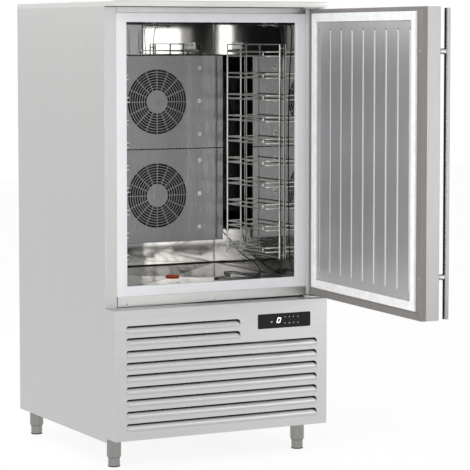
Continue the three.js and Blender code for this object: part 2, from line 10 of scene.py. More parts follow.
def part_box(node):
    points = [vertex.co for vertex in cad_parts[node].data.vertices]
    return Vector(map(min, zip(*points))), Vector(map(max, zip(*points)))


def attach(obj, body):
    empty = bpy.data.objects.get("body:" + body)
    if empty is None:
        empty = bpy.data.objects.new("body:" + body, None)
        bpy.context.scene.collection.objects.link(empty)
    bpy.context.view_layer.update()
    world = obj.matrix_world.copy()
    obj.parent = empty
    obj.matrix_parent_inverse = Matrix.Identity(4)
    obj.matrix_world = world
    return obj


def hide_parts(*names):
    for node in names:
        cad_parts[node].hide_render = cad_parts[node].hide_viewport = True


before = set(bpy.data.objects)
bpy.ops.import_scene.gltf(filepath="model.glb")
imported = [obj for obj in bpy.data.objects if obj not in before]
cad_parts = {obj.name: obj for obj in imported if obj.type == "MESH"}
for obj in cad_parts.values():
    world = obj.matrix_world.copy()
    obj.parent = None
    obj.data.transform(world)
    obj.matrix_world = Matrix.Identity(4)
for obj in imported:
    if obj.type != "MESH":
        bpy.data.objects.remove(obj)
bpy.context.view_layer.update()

bl_info = {
    "name": "Blast chiller",
    "version": (1, 0, 0),
    "blender": (4, 5, 0),
    "location": "3D View > Sidebar > Chiller",
    "description": "Dresses the frame of an upright blast chiller piece by piece",
    "category": "Object",
}

# ------------------------------------------------------------------ places

# Pieces are drawn in metres in the cabinet's own axes: x = 0 is the middle of the cabinet, y = 0 is
# the carcass face that the door closes on, z = 0 is the floor. The door is drawn closed.
HALF_WIDTH, FRONT_Y, BACK_Y = 0.4, -0.075, 0.755
LEFT_PANEL_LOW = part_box("left_side_panel")[0]
CABINET = Matrix.Translation((LEFT_PANEL_LOW.x + HALF_WIDTH, LEFT_PANEL_LOW.y, 0.0))
HINGE_PIN = Vector((0.3845, -0.0355, 0.0))
DOOR_OPEN = math.radians(86.3)
DOOR = (
    CABINET
    @ Matrix.Translation(HINGE_PIN)
    @ Matrix.Rotation(DOOR_OPEN, 4, "Z")
    @ Matrix.Translation(-HINGE_PIN)
)
# The way that the heights of a turned profile point.
FACING = {
    "up": Matrix(),
    "front": Matrix.Rotation(math.radians(90), 4, "X"),
    "back": Matrix.Rotation(math.radians(-90), 4, "X"),
    "left": Matrix.Rotation(math.radians(-90), 4, "Y"),
}


def linear(red, green, blue):
    """A colour given as screen values from 0 to 255, as scene values from 0 to 1."""
    return tuple(
        v / 12.92 if v <= 0.04045 else ((v + 0.055) / 1.055) ** 2.4
        for v in (red / 255, green / 255, blue / 255)
    )


# ------------------------------------------------------------------ sizes and colours


def length(name, description, default):
    return bpy.props.FloatProperty(
        name=name, description=description, default=default, min=0.0, unit="LENGTH"
    )


def colour(name, description, *screen):
    return bpy.props.FloatVectorProperty(
        name=name,
        description=description,
        default=linear(*screen),
        min=0.0,
        max=1.0,
        subtype="COLOR",
    )


class ChillerSizes(bpy.types.PropertyGroup):
    fold_radius: length("Fold radius", "Radius of the folds in the outer sheets", 0.003)
    sill_bulge: length("Sill bulge", "How far the rounded sill stands forward", 0.004)
    louvre_height: length("Louvre height", "Height of one pressed louvre", 0.027)
    louvre_depth: length("Louvre depth", "How far a louvre's top edge is pressed in", 0.006)
    louvre_gap: length("Louvre gap", "Height of the open slot over a louvre", 0.0045)
    louvre_corner: length("Louvre corner", "Radius of the ends of a louvre's slot", 0.013)
    wire: length("Rack wire", "Diameter of the tray support wires", 0.005)
    upright: length("Rack upright", "Diameter of the rack's upright wires", 0.006)
    rib_height: length("Door rib height", "How far the liner's ribs stand out", 0.003)
    rib_width: length("Door rib width", "Width of one rib at its foot", 0.013)
    gasket_lip: length("Gasket lip", "Radius of the gasket's rounded lips", 0.003)
    cable: length("Probe cable", "Diameter of the food probe's cable", 0.004)
    spoke: length("Grille spoke", "Width of the spokes of the fan grilles", 0.003)
    bridge: length("Grille bridge", "Width of the rings between the slots", 0.0027)


class ChillerColours(bpy.types.PropertyGroup):
    satin: colour("Satin steel", "Outer panels", 194, 194, 193)
    # A lighter copy of the satin steel, which paints the top cap and the sill brighter than the panels.
    cap: colour("Cap steel", "Top cap and its rolled edge", 205, 205, 203)
    polished: colour("Polished steel", "Probe, handle posts, screws and small fittings", 184, 184, 182)
    door_skin: colour("Door steel", "Outer skin of the door", 168, 168, 167)
    handle: colour("Handle steel", "Full-height bar handle", 150, 150, 149)
    liner: colour("Liner steel", "Bright walls and ceiling of the chamber", 162, 161, 159)
    floor_pan: colour("Floor steel", "Chamber floor", 190, 188, 184)
    leg: colour("Leg steel", "Legs and levelling feet", 144, 143, 140)
    wire: colour("Wire steel", "Tray racks and cover nuts", 240, 239, 236)
    cover: colour("Cover steel", "Evaporator covers", 142, 142, 143)
    door_liner: colour("Door liner", "Ribbed inside of the door", 206, 206, 208)
    breaker: colour("Breaker", "Plastic frame round the mouth", 224, 224, 226)
    gasket: colour("Gasket", "Door seal", 238, 238, 237)
    door_frame: colour("Door frame", "Frame under the gasket", 124, 120, 117)
    glass: colour("Control glass", "Touch panel", 17, 18, 20)
    plug: colour("Drain plug", "Rubber plug in the floor", 226, 92, 52)
    foam: colour("Foam", "Insulation", 232, 220, 174)


def sizes():
    return bpy.context.scene.chiller_sizes


# ------------------------------------------------------------------ materials

# Noise lies mostly between these values, and the streaks and clouds use that part of it.
NOISE_LOW, NOISE_HIGH = 0.3, 0.7
# Heights between which the liner goes from dull, near the floor, to bright.
FOOT_DULL, FOOT_BRIGHT = 0.70, 0.82


def finish_named(name):
    """One of the chiller's finishes: the prefix keeps it apart from the frame's plain materials."""
    return bpy.data.materials[f"chiller_{name}"]


def start_shader(name, colour, metallic, roughness):
    """A new material's shader, with the plain values set on the shader's own sockets."""
    made = bpy.data.materials.new(f"chiller_{name}")
    made.use_nodes = True
    shader = made.node_tree.nodes["Principled BSDF"]
    shader.inputs["Base Color"].default_value = (*colour, 1.0)
    shader.inputs["Metallic"].default_value = metallic
    shader.inputs["Roughness"].default_value = roughness
    return shader


def texture_on(shader, kind, scale):
    """A texture on object coordinates, which the scale makes finer."""
    tree = shader.id_data
    place = tree.nodes.new("ShaderNodeTexCoord")
    mapping = tree.nodes.new("ShaderNodeMapping")
    mapping.inputs["Scale"].default_value = scale if isinstance(scale, tuple) else (scale,) * 3
    texture = tree.nodes.new(kind)
    texture.inputs["Scale"].default_value = 1.0
    tree.links.new(place.outputs["Object"], mapping.inputs["Vector"])
    tree.links.new(mapping.outputs["Vector"], texture.inputs["Vector"])
    return texture


def grain(shader, scale, detail=4.0):
    """Noise between 0 and 1, with its middle near 0.5."""
    texture = texture_on(shader, "ShaderNodeTexNoise", scale)
    texture.inputs["Detail"].default_value = detail
    return texture.outputs[0]


def vary_roughness(shader, value, low, high, start=NOISE_LOW, end=NOISE_HIGH):
    """Roughness goes from low to high as the value goes from start to end."""
    tree = shader.id_data
    turned = tree.nodes.new("ShaderNodeMapRange")
    turned.inputs["From Min"].default_value = start
    turned.inputs["From Max"].default_value = end
    turned.inputs["To Min"].default_value = low
    turned.inputs["To Max"].default_value = high
    tree.links.new(value, turned.inputs["Value"])
    tree.links.new(turned.outputs["Result"], shader.inputs["Roughness"])


def vary_colour(shader, value, colour, low, high):
    """Colour goes from low to high times itself across the noise."""
    tree = shader.id_data
    ramp = tree.nodes.new("ShaderNodeValToRGB")
    for stop, place, share in zip(ramp.color_ramp.elements, (NOISE_LOW, NOISE_HIGH), (low, high)):
        stop.position = place
        stop.color = (*(min(1.0, c * share) for c in colour), 1.0)
    tree.links.new(value, ramp.inputs["Fac"])
    tree.links.new(ramp.outputs["Color"], shader.inputs["Base Color"])


def raise_relief(shader, value, strength, height):
    tree = shader.id_data
    bump = tree.nodes.new("ShaderNodeBump")
    bump.inputs["Strength"].default_value = strength
    bump.inputs["Distance"].default_value = height
    tree.links.new(value, bump.inputs["Height"])
    tree.links.new(bump.outputs["Normal"], shader.inputs["Normal"])


def brushed_steel(name, colour, roughness, along, streak=0.018, metallic=1.0):
    """Satin steel with fine scratches along one axis, and broader streaks among them."""
    shader = start_shader(name, colour, metallic, roughness)
    scratches = grain(shader, tuple(14.0 if axis == along else 1400.0 for axis in "XYZ"), 2.0)
    streaks = grain(shader, tuple(1.1 if axis == along else 90.0 for axis in "XYZ"), 5.0)
    vary_roughness(shader, scratches, roughness * 0.82, roughness * 1.2)
    vary_colour(shader, streaks, colour, 1.0 - streak, 1.0 + streak)
    raise_relief(shader, scratches, 0.12, 0.0002)


def bright_steel(name, colour, roughness, sway, foot=None):
    """Mirror-like annealed sheet, bent by a slow unevenness. A foot roughness, where it is given,
    holds up to the height FOOT_DULL and has faded to the plain one at FOOT_BRIGHT."""
    shader = start_shader(name, colour, 1.0, roughness)
    slow = grain(shader, (3.2, 3.2, 1.3), 2.0)
    cloud = grain(shader, (38.0, 38.0, 1.6), 5.0)
    if foot is None:
        vary_roughness(shader, cloud, roughness * 0.7, roughness * 1.5)
    else:
        tree = shader.id_data
        place = tree.nodes.new("ShaderNodeTexCoord")
        axes = tree.nodes.new("ShaderNodeSeparateXYZ")
        tree.links.new(place.outputs["Object"], axes.inputs["Vector"])
        vary_roughness(shader, axes.outputs["Z"], foot, roughness, FOOT_DULL, FOOT_BRIGHT)
    vary_colour(shader, cloud, colour, 0.95, 1.03)
    raise_relief(shader, slow, sway, 0.01)


def polished_steel(name, colour, roughness):
    """Turned or drawn bright steel with faint marks along its length."""
    shader = start_shader(name, colour, 1.0, roughness)
    vary_roughness(shader, grain(shader, (900.0, 900.0, 30.0), 3.0), roughness * 0.7, roughness * 1.6)
    vary_colour(shader, grain(shader, (70.0, 70.0, 9.0)), colour, 0.94, 1.04)


def moulded_plastic(name, colour, roughness, texture=0.15, gloss=0.4):
    """Extruded or moulded plastic with a fine skin and a slightly uneven tone."""
    shader = start_shader(name, colour, 0.0, roughness)
    shader.inputs["Specular IOR Level"].default_value = gloss
    skin = grain(shader, 1800.0, 2.0)
    vary_colour(shader, grain(shader, (14.0, 14.0, 5.0)), colour, 0.965, 1.02)
    vary_roughness(shader, skin, roughness * 0.9, roughness * 1.15)
    raise_relief(shader, skin, texture, 0.0001)


def soft_rubber(name, colour, roughness=0.62):
    """Matt rubber with a faint bloom."""
    shader = start_shader(name, colour, 0.0, roughness)
    shader.inputs["Specular IOR Level"].default_value = 0.3
    bloom = grain(shader, 38.0, 5.0)
    vary_colour(shader, bloom, colour, 0.92, 1.05)
    vary_roughness(shader, bloom, roughness * 0.85, roughness * 1.15)
    raise_relief(shader, grain(shader, 900.0, 2.0), 0.2, 0.0002)


def open_foam(name, colour):
    """Cut foam with its cells open."""
    shader = start_shader(name, colour, 0.0, 0.95)
    cells = texture_on(shader, "ShaderNodeTexVoronoi", 420.0)
    vary_colour(shader, grain(shader, 22.0, 6.0), colour, 0.86, 1.05)
    raise_relief(shader, cells.outputs["Distance"], 0.6, 0.001)


def spangled_sheet(name, colour):
    """Galvanised sheet with its crystal spangle."""
    shader = start_shader(name, colour, 0.9, 0.42)
    tree = shader.id_data
    cells = texture_on(shader, "ShaderNodeTexVoronoi", 110.0)
    parted = tree.nodes.new("ShaderNodeSeparateColor")
    tree.links.new(cells.outputs["Color"], parted.inputs["Color"])
    vary_colour(shader, parted.outputs["Red"], colour, 0.93, 1.04)
    vary_roughness(shader, parted.outputs["Green"], 0.38, 0.5)


def painted_metal(name, colour, roughness):
    """Stove enamel with a little orange peel."""
    shader = start_shader(name, colour, 0.0, roughness)
    shader.inputs["Coat Weight"].default_value = 0.4
    shader.inputs["Coat Roughness"].default_value = 0.2
    vary_colour(shader, grain(shader, 18.0), colour, 0.8, 1.25)
    raise_relief(shader, grain(shader, 260.0, 2.0), 0.15, 0.0004)


def finned_aluminium(name, colour):
    """A coil's packed fins, dusty between them."""
    shader = start_shader(name, colour, 0.9, 0.45)
    dust = grain(shader, (30.0, 90.0, 30.0), 5.0)
    vary_colour(shader, dust, colour, 0.8, 1.08)
    vary_roughness(shader, dust, 0.35, 0.6)
    raise_relief(shader, grain(shader, (6.0, 6.0, 500.0), 1.0), 0.2, 0.0005)


def drawn_copper(name, colour):
    """Copper pipe with patches of tarnish."""
    shader = start_shader(name, colour, 1.0, 0.28)
    tarnish = grain(shader, 24.0, 5.0)
    vary_colour(shader, tarnish, colour, 0.72, 1.1)
    vary_roughness(shader, tarnish, 0.2, 0.42)


def control_glass(name, colour):
    """Black printed glass under a clear gloss."""
    shader = start_shader(name, colour, 0.0, 0.2)
    shader.inputs["Specular IOR Level"].default_value = 0.15
    shader.inputs["Coat Weight"].default_value = 0.1
    shader.inputs["Coat Roughness"].default_value = 0.04
    smear = grain(shader, (30.0, 30.0, 60.0))
    vary_colour(shader, smear, colour, 0.85, 1.15)
    vary_roughness(shader, smear, 0.16, 0.3)


def lit_print(name, colour, strength):
    """Print that is lit from behind."""
    shader = start_shader(name, colour, 0.0, 0.4)
    shader.inputs["Emission Color"].default_value = (*colour, 1.0)
    shader.inputs["Emission Strength"].default_value = strength
    vary_colour(shader, grain(shader, 600.0, 2.0), colour, 0.85, 1.0)


def mix_finishes(colours):
    """Every finish of the chiller, by name."""
    brushed_steel("satin_upright", colours.satin, 0.36, "Z")
    brushed_steel("satin_across", colours.satin, 0.36, "X")
    # The satin steel again, lightened to paint the cap and sill brighter.
    brushed_steel("painted_lighter_steel", colours.cap, 0.36, "X")
    brushed_steel("satin_door", colours.door_skin, 0.34, "Z")
    brushed_steel("cover_sheet", colours.cover, 0.3, "Z")
    brushed_steel("door_liner_sheet", colours.door_liner, 0.4, "Z", 0.03, 0.85)
    bright_steel("liner_sheet", colours.liner, 0.032, 0.008, foot=0.085)
    bright_steel("liner_floor", colours.floor_pan, 0.085, 0.01)
    polished_steel("polished", colours.polished, 0.16)
    polished_steel("handle_steel", colours.handle, 0.22)
    polished_steel("nut_steel", colours.wire, 0.25)
    polished_steel("leg_steel", colours.leg, 0.2)
    polished_steel("rack_wire", colours.wire, 0.4)
    moulded_plastic("breaker_plastic", colours.breaker, 0.42)
    moulded_plastic("door_frame_plastic", colours.door_frame, 0.38, gloss=0.5)
    moulded_plastic("black_moulding", linear(18, 18, 19), 0.5, 0.3)
    soft_rubber("gasket_rubber", colours.gasket)
    soft_rubber("plug_rubber", colours.plug, 0.5)
    soft_rubber("cable_jacket", linear(30, 30, 30), 0.5)
    # Dark rubber for real seals and joints, also used for dark pieces that paint shade and shadow.
    soft_rubber("dark_seal_and_painted_shade", linear(26, 25, 24), 0.6)
    open_foam("insulation", colours.foam)
    spangled_sheet("galvanised_sheet", linear(176, 180, 183))
    painted_metal("black_paint", linear(14, 14, 15), 0.5)
    finned_aluminium("fins", linear(46, 47, 49))
    drawn_copper("copper", linear(196, 128, 92))
    control_glass("panel_glass", colours.glass)
    lit_print("lit_digit", linear(250, 250, 250), 0.9)
    lit_print("key_print", linear(200, 205, 208), 0.15)


# ------------------------------------------------------------------ shaping

# Distance within which two places are one; angle in radians between faces that meet in a sharp
# edge; thickness of the outer and the inner sheets.
TINY, SHARP = 1e-6, 1.2
OUTER_SHEET, INNER_SHEET = 0.0015, 0.0012


def move(mesh, verts, offset):
    bmesh.ops.translate(mesh, verts=verts, vec=Vector(offset))


def verts_in(geom):
    return [g for g in geom if isinstance(g, bmesh.types.BMVert)]


def edges_in(geom):
    return [g for g in geom if isinstance(g, bmesh.types.BMEdge)]


def edges_of(verts):
    chosen = set(verts)
    return {e for v in verts for e in v.link_edges if all(w in chosen for w in e.verts)}


def edges_where(mesh, test):
    """The mesh's edges that have both ends where the test is true."""
    return [e for e in mesh.edges if all(test(v.co) for v in e.verts)]


def sharp_edges(mesh):
    return [e for e in mesh.edges if e.calc_face_angle(0.0) > SHARP]


def turn_outwards(mesh, verts=None):
    """Recalculates the normals of the whole mesh, or of the faces at the vertices given."""
    faces = mesh.faces[:] if verts is None else list({f for v in verts for f in v.link_faces})
    bmesh.ops.recalc_face_normals(mesh, faces=faces)


def turn_to_front(mesh):
    """Turns each face of flat or pressed sheets to the front, whichever way it lies."""
    for face in mesh.faces:
        if face.normal.y > 0:
            face.normal_flip()


def thicken(mesh, front_face, thickness):
    """Turns an open sheet so that the face given looks to the front, and makes it solid."""
    turn_outwards(mesh)
    if front_face.normal.y > 0:
        bmesh.ops.reverse_faces(mesh, faces=mesh.faces[:])
    bmesh.ops.solidify(mesh, geom=mesh.faces[:], thickness=thickness)


def round_edges(mesh, edges, radius, segments):
    bmesh.ops.bevel(
        mesh,
        geom=list(set(edges)),
        offset=radius,
        offset_type="OFFSET",
        segments=segments,
        profile=0.5,
        affect="EDGES",
        material=-1,
        clamp_overlap=True,
    )


def extrude_rim(mesh, edges, offset=(0, 0, 0)):
    """Extrudes the edges by the offset; returns the new vertices and edges."""
    grown = bmesh.ops.extrude_edge_only(mesh, edges=edges)["geom"]
    verts = verts_in(grown)
    move(mesh, verts, offset)
    return verts, edges_in(grown)


def add_block(mesh, low, high):
    """A box from its low to its high corner; returns its vertices."""
    low, high = Vector(low), Vector(high)
    made = bmesh.ops.create_cube(mesh, size=1.0)["verts"]
    bmesh.ops.scale(mesh, vec=high - low, verts=made)
    move(mesh, made, (low + high) / 2)
    return made


def add_rounded_block(mesh, low, high, radius, segments, along="XYZ", front_of=math.inf):
    """A box with rounded edges: those along the axes named, and in front of the y given."""
    chosen = []
    for edge in edges_of(add_block(mesh, low, high)):
        start, end = (v.co for v in edge.verts)
        axis = max("XYZ", key=lambda a: abs(getattr(end - start, a.lower())))
        if axis in along and (start.y + end.y) / 2 < front_of:
            chosen.append(edge)
    round_edges(mesh, chosen, radius, segments)


def add_prism(mesh, outline, offset):
    """A solid between a flat outline and the same outline moved by the offset."""
    face = mesh.faces.new([mesh.verts.new(point) for point in outline])
    grown = bmesh.ops.extrude_face_region(mesh, geom=[face])["geom"]
    move(mesh, verts_in(grown), offset)
    turn_outwards(mesh)


def add_rod(mesh, start, end, radius, sides, round_ends=0.0):
    """A round rod between two points."""
    start, end = Vector(start), Vector(end)
    along = end - start
    place = Matrix.Translation((start + end) / 2) @ along.to_track_quat("Z", "Y").to_matrix().to_4x4()
    made = bmesh.ops.create_cone(
        mesh,
        cap_ends=True,
        cap_tris=False,
        segments=sides,
        radius1=radius,
        radius2=radius,
        depth=along.length,
        matrix=place,
    )["verts"]
    if round_ends:
        along.normalize()
        rims = [
            e for e in edges_of(made)
            if abs((e.verts[0].co - e.verts[1].co).normalized().dot(along)) < 0.5
        ]
        round_edges(mesh, rims, round_ends, 3)


def add_turned(mesh, profile, centre, facing="up", steps=32):
    """Spins a profile of (radius, height) pairs, with its heights pointing the way it faces."""
    verts = [mesh.verts.new((r, 0.0, h)) for r, h in profile]
    edges = [mesh.edges.new(pair) for pair in zip(verts, verts[1:])]
    bmesh.ops.spin(
        mesh,
        geom=verts + edges,
        cent=(0, 0, 0),
        axis=(0, 0, 1),
        angle=math.tau,
        steps=steps,
        use_merge=True,
        use_duplicate=False,
    )
    made = {v for v in verts if v.is_valid}
    waiting = list(made)
    while waiting:
        vertex = waiting.pop()
        fresh = {e.other_vert(vertex) for e in vertex.link_edges} - made
        made |= fresh
        waiting += fresh
    made = list(made)
    bmesh.ops.remove_doubles(mesh, verts=made, dist=TINY)
    made = [v for v in made if v.is_valid]
    turn_outwards(mesh, made)
    bmesh.ops.transform(mesh, matrix=Matrix.Translation(centre) @ FACING[facing], verts=made)


def add_ring_section(mesh, outer, inner, section):
    """A rectangular frame in an XZ plane with mitred corners, between an outer and an inner rectangle
    given as (half width, bottom, top). section holds the points (distance in from the outer
    rectangle's side, y) round the frame's cross-section, which is extruded from corner to corner."""
    width = outer[0] - inner[0]

    def at_corner(corner, inset, y):
        half, bottom, top = (a + (b - a) * inset / width for a, b in zip(outer, inner))
        return (half if corner in (1, 2) else -half, y, top if corner in (2, 3) else bottom)

    point_of = {mesh.verts.new(at_corner(0, *point)): point for point in section}
    start = list(point_of)
    rim = [mesh.edges.new((start[i - 1], start[i])) for i in range(len(start))]
    for corner in (1, 2, 3, 0):
        verts, rim = extrude_rim(mesh, rim)
        placed = {}
        for vert in verts:
            before = next(e.other_vert(vert) for e in vert.link_edges if e.other_vert(vert) in point_of)
            placed[vert] = point_of[before]
            vert.co = at_corner(corner, *point_of[before])
        point_of.update(placed)
    made = list(point_of)
    bmesh.ops.remove_doubles(mesh, verts=made, dist=TINY)
    turn_outwards(mesh, [v for v in made if v.is_valid])


def arc(centre, radius, start, end, steps):
    """Points of an arc in a section, from the start to the end angle in degrees."""
    turns = [math.radians(start + (end - start) * i / steps) for i in range(steps + 1)]
    return [(centre[0] + radius * math.cos(t), centre[1] + radius * math.sin(t)) for t in turns]


def rounded_path(points, radius, steps=5):
    """The points with each inner corner replaced by an arc-like bend."""
    points = [Vector(p) for p in points]
    path = [points[0]]
    for before, corner, after in zip(points, points[1:], points[2:]):
        into, out = (before - corner), (after - corner)
        reach = min(radius, into.length * 0.49, out.length * 0.49)
        a, b = corner + into.normalized() * reach, corner + out.normalized() * reach
        for i in range(steps + 1):
            t = i / steps
            path.append(a * (1 - t) ** 2 + corner * 2 * t * (1 - t) + b * t**2)
    path.append(points[-1])
    return path


def add_wire(mesh, path, radius, sides=8):
    """Draws a round wire along the path by extruding its end circle from point to point."""
    path = [Vector(p) for p in path]
    around = zip([path[0], *path], [*path[1:], path[-1]])
    directions = [(after - before).normalized() for before, after in around]
    turn = directions[0].to_track_quat("Z", "Y").to_matrix().to_4x4()
    ring = bmesh.ops.create_circle(
        mesh, cap_ends=True, segments=sides, radius=radius, matrix=Matrix.Translation(path[0]) @ turn
    )["verts"]
    everything = list(ring)
    rim = list(edges_of(ring))
    for before, here, old, new in zip(path, path[1:], directions, directions[1:]):
        ring, rim = extrude_rim(mesh, rim)
        bend = old.rotation_difference(new).to_matrix().to_4x4()
        move_there = Matrix.Translation(here) @ bend @ Matrix.Translation(-before)
        bmesh.ops.transform(mesh, matrix=move_there, verts=ring)
        everything += ring
    bmesh.ops.contextual_create(mesh, geom=rim)
    turn_outwards(mesh, everything)


def upright_rectangle(half, y, low, high):
    return [(-half, y, low), (half, y, low), (half, y, high), (-half, y, high)]


def add_loop(mesh, points):
    """A closed loop of edges through the points."""
    verts = [mesh.verts.new(p) for p in points]
    return [mesh.edges.new((verts[i - 1], verts[i])) for i in range(len(verts))]


def fill_flat(mesh, edges):
    """Fills flat closed loops of edges: the first is the outside, the rest are holes."""
    bmesh.ops.triangle_fill(mesh, use_beauty=True, use_dissolve=False, edges=edges, normal=(0, -1, 0))


def put_in_scene(name, mesh, finish):
    """Turns the built mesh into an object of one finish."""
    data = bpy.data.meshes.new(name)
    mesh.to_mesh(data)
    mesh.free()
    data.materials.append(finish_named(finish))
    made = bpy.data.objects.new(name, data)
    bpy.context.scene.collection.objects.link(made)
    return made


def make_piece(name, mesh, finish, body, stands_for=(), smooth=32.0):
    """Turns the built mesh into a piece that rides on a body, with its place in its vertices."""
    place = DOOR if body == "door" else CABINET
    bmesh.ops.transform(mesh, matrix=place, verts=mesh.verts)
    piece = put_in_scene(name, mesh, finish)
    piece.data.shade_smooth()
    piece.data.set_sharp_from_angle(angle=math.radians(smooth))
    flat = piece.modifiers.new("flat_faces_stay_flat", "WEIGHTED_NORMAL")
    flat.weight, flat.keep_sharp = 80, True
    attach(piece, body)
    if stands_for:
        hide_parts(*stands_for)
    return piece


def finish_node(node, finish):
    """Gives a frame node that keeps its shape its finish."""
    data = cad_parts[node].data
    if not data.materials:
        data.materials.append(None)
    for index in range(len(data.materials)):
        data.materials[index] = finish_named(finish)


# ------------------------------------------------------------------ the stage


def place_camera(scene):
    """The photograph's camera: level from side to side, and looking a little down."""
    lens = bpy.data.cameras.new("photo_camera")
    lens.sensor_width = 36.0
    lens.lens = 165.672
    lens.shift_x, lens.shift_y = -0.00612, -0.08
    lens.clip_start, lens.clip_end = 0.1, 60.0
    camera = bpy.data.objects.new("photo_camera", lens)
    camera.location = (-3.30861, -6.44322, 1.42482)
    camera.rotation_euler = (math.radians(85.805), 0.0, math.radians(-27.628))
    scene.collection.objects.link(camera)
    scene.camera = camera


def white_for_rays(tree, shade, white):
    """Mixes a plain white in where the camera, glass or a glossy surface looks at the backdrop."""
    nodes, links = tree.nodes, tree.links
    path = nodes.new("ShaderNodeLightPath")
    seen = path.outputs["Is Camera Ray"]
    for ray in ("Is Glossy Ray", "Is Transmission Ray"):
        either = nodes.new("ShaderNodeMath")
        either.operation = "MAXIMUM"
        links.new(seen, either.inputs[0])
        links.new(path.outputs[ray], either.inputs[1])
        seen = either.outputs[0]
    mix = nodes.new("ShaderNodeMixShader")
    links.new(seen, mix.inputs["Fac"])
    links.new(shade, mix.inputs[1])
    links.new(white, mix.inputs[2])
    return mix.outputs[0]


def light_world(scene):
    """Soft light from all round, with a white background."""
    world = bpy.data.worlds.new("studio")
    world.use_nodes = True
    tree = world.node_tree
    soft = tree.nodes["Background"]
    soft.inputs["Color"].default_value = (0.97, 0.98, 1.0, 1.0)
    soft.inputs["Strength"].default_value = 0.62
    white = tree.nodes.new("ShaderNodeBackground")
    white.inputs["Color"].default_value = (1.0, 1.0, 1.0, 1.0)
    white.inputs["Strength"].default_value = 1.0
    out = tree.nodes["World Output"]
    tree.links.new(white_for_rays(tree, soft.outputs[0], white.outputs[0]), out.inputs["Surface"])
    scene.world = world


def lay_floor():
    """A pale floor that looks white, and keeps a fifth of its shading so that shadows show."""
    shader = start_shader("studio_floor", (0.9, 0.9, 0.9), 0.0, 0.9)
    tree = shader.id_data
    white = tree.nodes.new("ShaderNodeEmission")
    white.inputs["Strength"].default_value = 1.08
    out = tree.nodes["Material Output"]
    part = tree.nodes.new("ShaderNodeMixShader")
    part.inputs["Fac"].default_value = 0.8
    tree.links.new(shader.outputs[0], part.inputs[1])
    tree.links.new(white.outputs[0], part.inputs[2])
    tree.links.new(white_for_rays(tree, shader.outputs[0], part.outputs[0]), out.inputs["Surface"])
    mesh = bmesh.new()
    bmesh.ops.create_grid(mesh, x_segments=1, y_segments=1, size=14.0)
    floor = put_in_scene("studio_floor", mesh, "studio_floor")


def add_lamp(scene, name, place, aim, size, power, shown=True):
    """A soft box that aims at a point; one that isn't shown lights without a reflection."""
    lamp = bpy.data.lights.new(name, "AREA")
    lamp.shape = "RECTANGLE"
    lamp.size, lamp.size_y = size
    lamp.energy = power
    held = bpy.data.objects.new(name, lamp)
    held.location = place
    held.rotation_euler = (Vector(aim) - Vector(place)).to_track_quat("-Z", "Y").to_euler()
    held.visible_camera = False
    held.visible_glossy = shown
    scene.collection.objects.link(held)


# The bright fields that the chamber's mirror-like walls reflect: left, right, low, high and power.
FRONT_LAMPS_Y, FLAG_Y = -4.4, -4.47
FRONT_LAMPS = {
    "front_strip": (-2.03, -1.69, 0.10, 1.49, 16),
    "front_fade": (-2.11, -2.03, 1.25, 1.49, 0.12),
    "front_step": (-2.31, -2.03, 0.10, 1.31, 5.0),
    "front_sliver": (-2.39, -2.31, 0.10, 1.52, 5.0),
}


def hang_flag():
    """A dark flag behind the front lamps, which only the bright steel shows."""
    start_shader("studio_flag", (0.012, 0.012, 0.012), 0.0, 0.9)
    left, right, low, high = -4.2, -1.2, 0.01, 2.3
    mesh = bmesh.new()
    corners = ((left, low), (right, low), (right, high), (left, high))
    mesh.faces.new([mesh.verts.new((x, FLAG_Y, z)) for x, z in corners])
    flag = put_in_scene("studio_flag", mesh, "studio_flag")
    flag.visible_camera = flag.visible_diffuse = flag.visible_transmission = False


class ChillerStage(bpy.types.Operator):
    """Camera, soft light and a pale floor"""

    bl_idname = "chiller.stage"
    bl_label = "Stage"

    def execute(self, context):
        scene = context.scene
        scene.view_settings.view_transform = "Standard"
        place_camera(scene)
        light_world(scene)
        lay_floor()
        add_lamp(scene, "overhead_key", (-3.2, -3.4, 3.4), (0, 0, 0.8), (2.6, 2.6), 60)
        add_lamp(scene, "right_fill", (2.1, -3.2, 1.1), (0.2, 0, 0.8), (1.3, 1.8), 11)
        for name, (left, right, low, high, power) in FRONT_LAMPS.items():
            x, z = (left + right) / 2, (low + high) / 2
            add_lamp(scene, name, (x, FRONT_LAMPS_Y, z), (x, 0, z), (right - left, high - low), power)
        hang_flag()
        add_lamp(scene, "left_fill", (-3.6, -1.3, 1.0), (0.3, -0.4, 1.0), (1.2, 1.6), 46, shown=False)
        add_lamp(scene, "rear_left", (-1.9, 3.2, 2.6), (-0.4, 0.4, 1.2), (1.2, 1.2), 15)
        return {"FINISHED"}


class ChillerFinishes(bpy.types.Operator):
    """Mixes the chiller's finishes"""

    bl_idname = "chiller.finishes"
    bl_label = "Finishes"

    def execute(self, context):
        mix_finishes(context.scene.chiller_colours)
        return {"FINISHED"}


# ------------------------------------------------------------------ food probe and its cable

CHAMBER_HALF, CHAMBER_FRONT, CHAMBER_BACK = 0.322, 0.012, 0.627
DRAIN_Y, DRAIN_Z, FLOOR_EDGE_Z = 0.316, 0.592, 0.600
PROBE_X, PROBE_Z, PROBE_FRONT = 0.299, 1.472, 0.104
CLIP_Y, CLIP_TOP = 0.192, 1.486
GLAND = (CHAMBER_HALF, 0.520, 0.738)
CABLE_LIFT = 0.0028


def floor_height(x, y):
    """The chamber floor falls from its edges to the drain."""
    depth = DRAIN_Y - CHAMBER_FRONT if y < DRAIN_Y else CHAMBER_BACK - DRAIN_Y
    return DRAIN_Z + (FLOOR_EDGE_Z - DRAIN_Z) * max(abs(x) / CHAMBER_HALF, abs(y - DRAIN_Y) / depth)


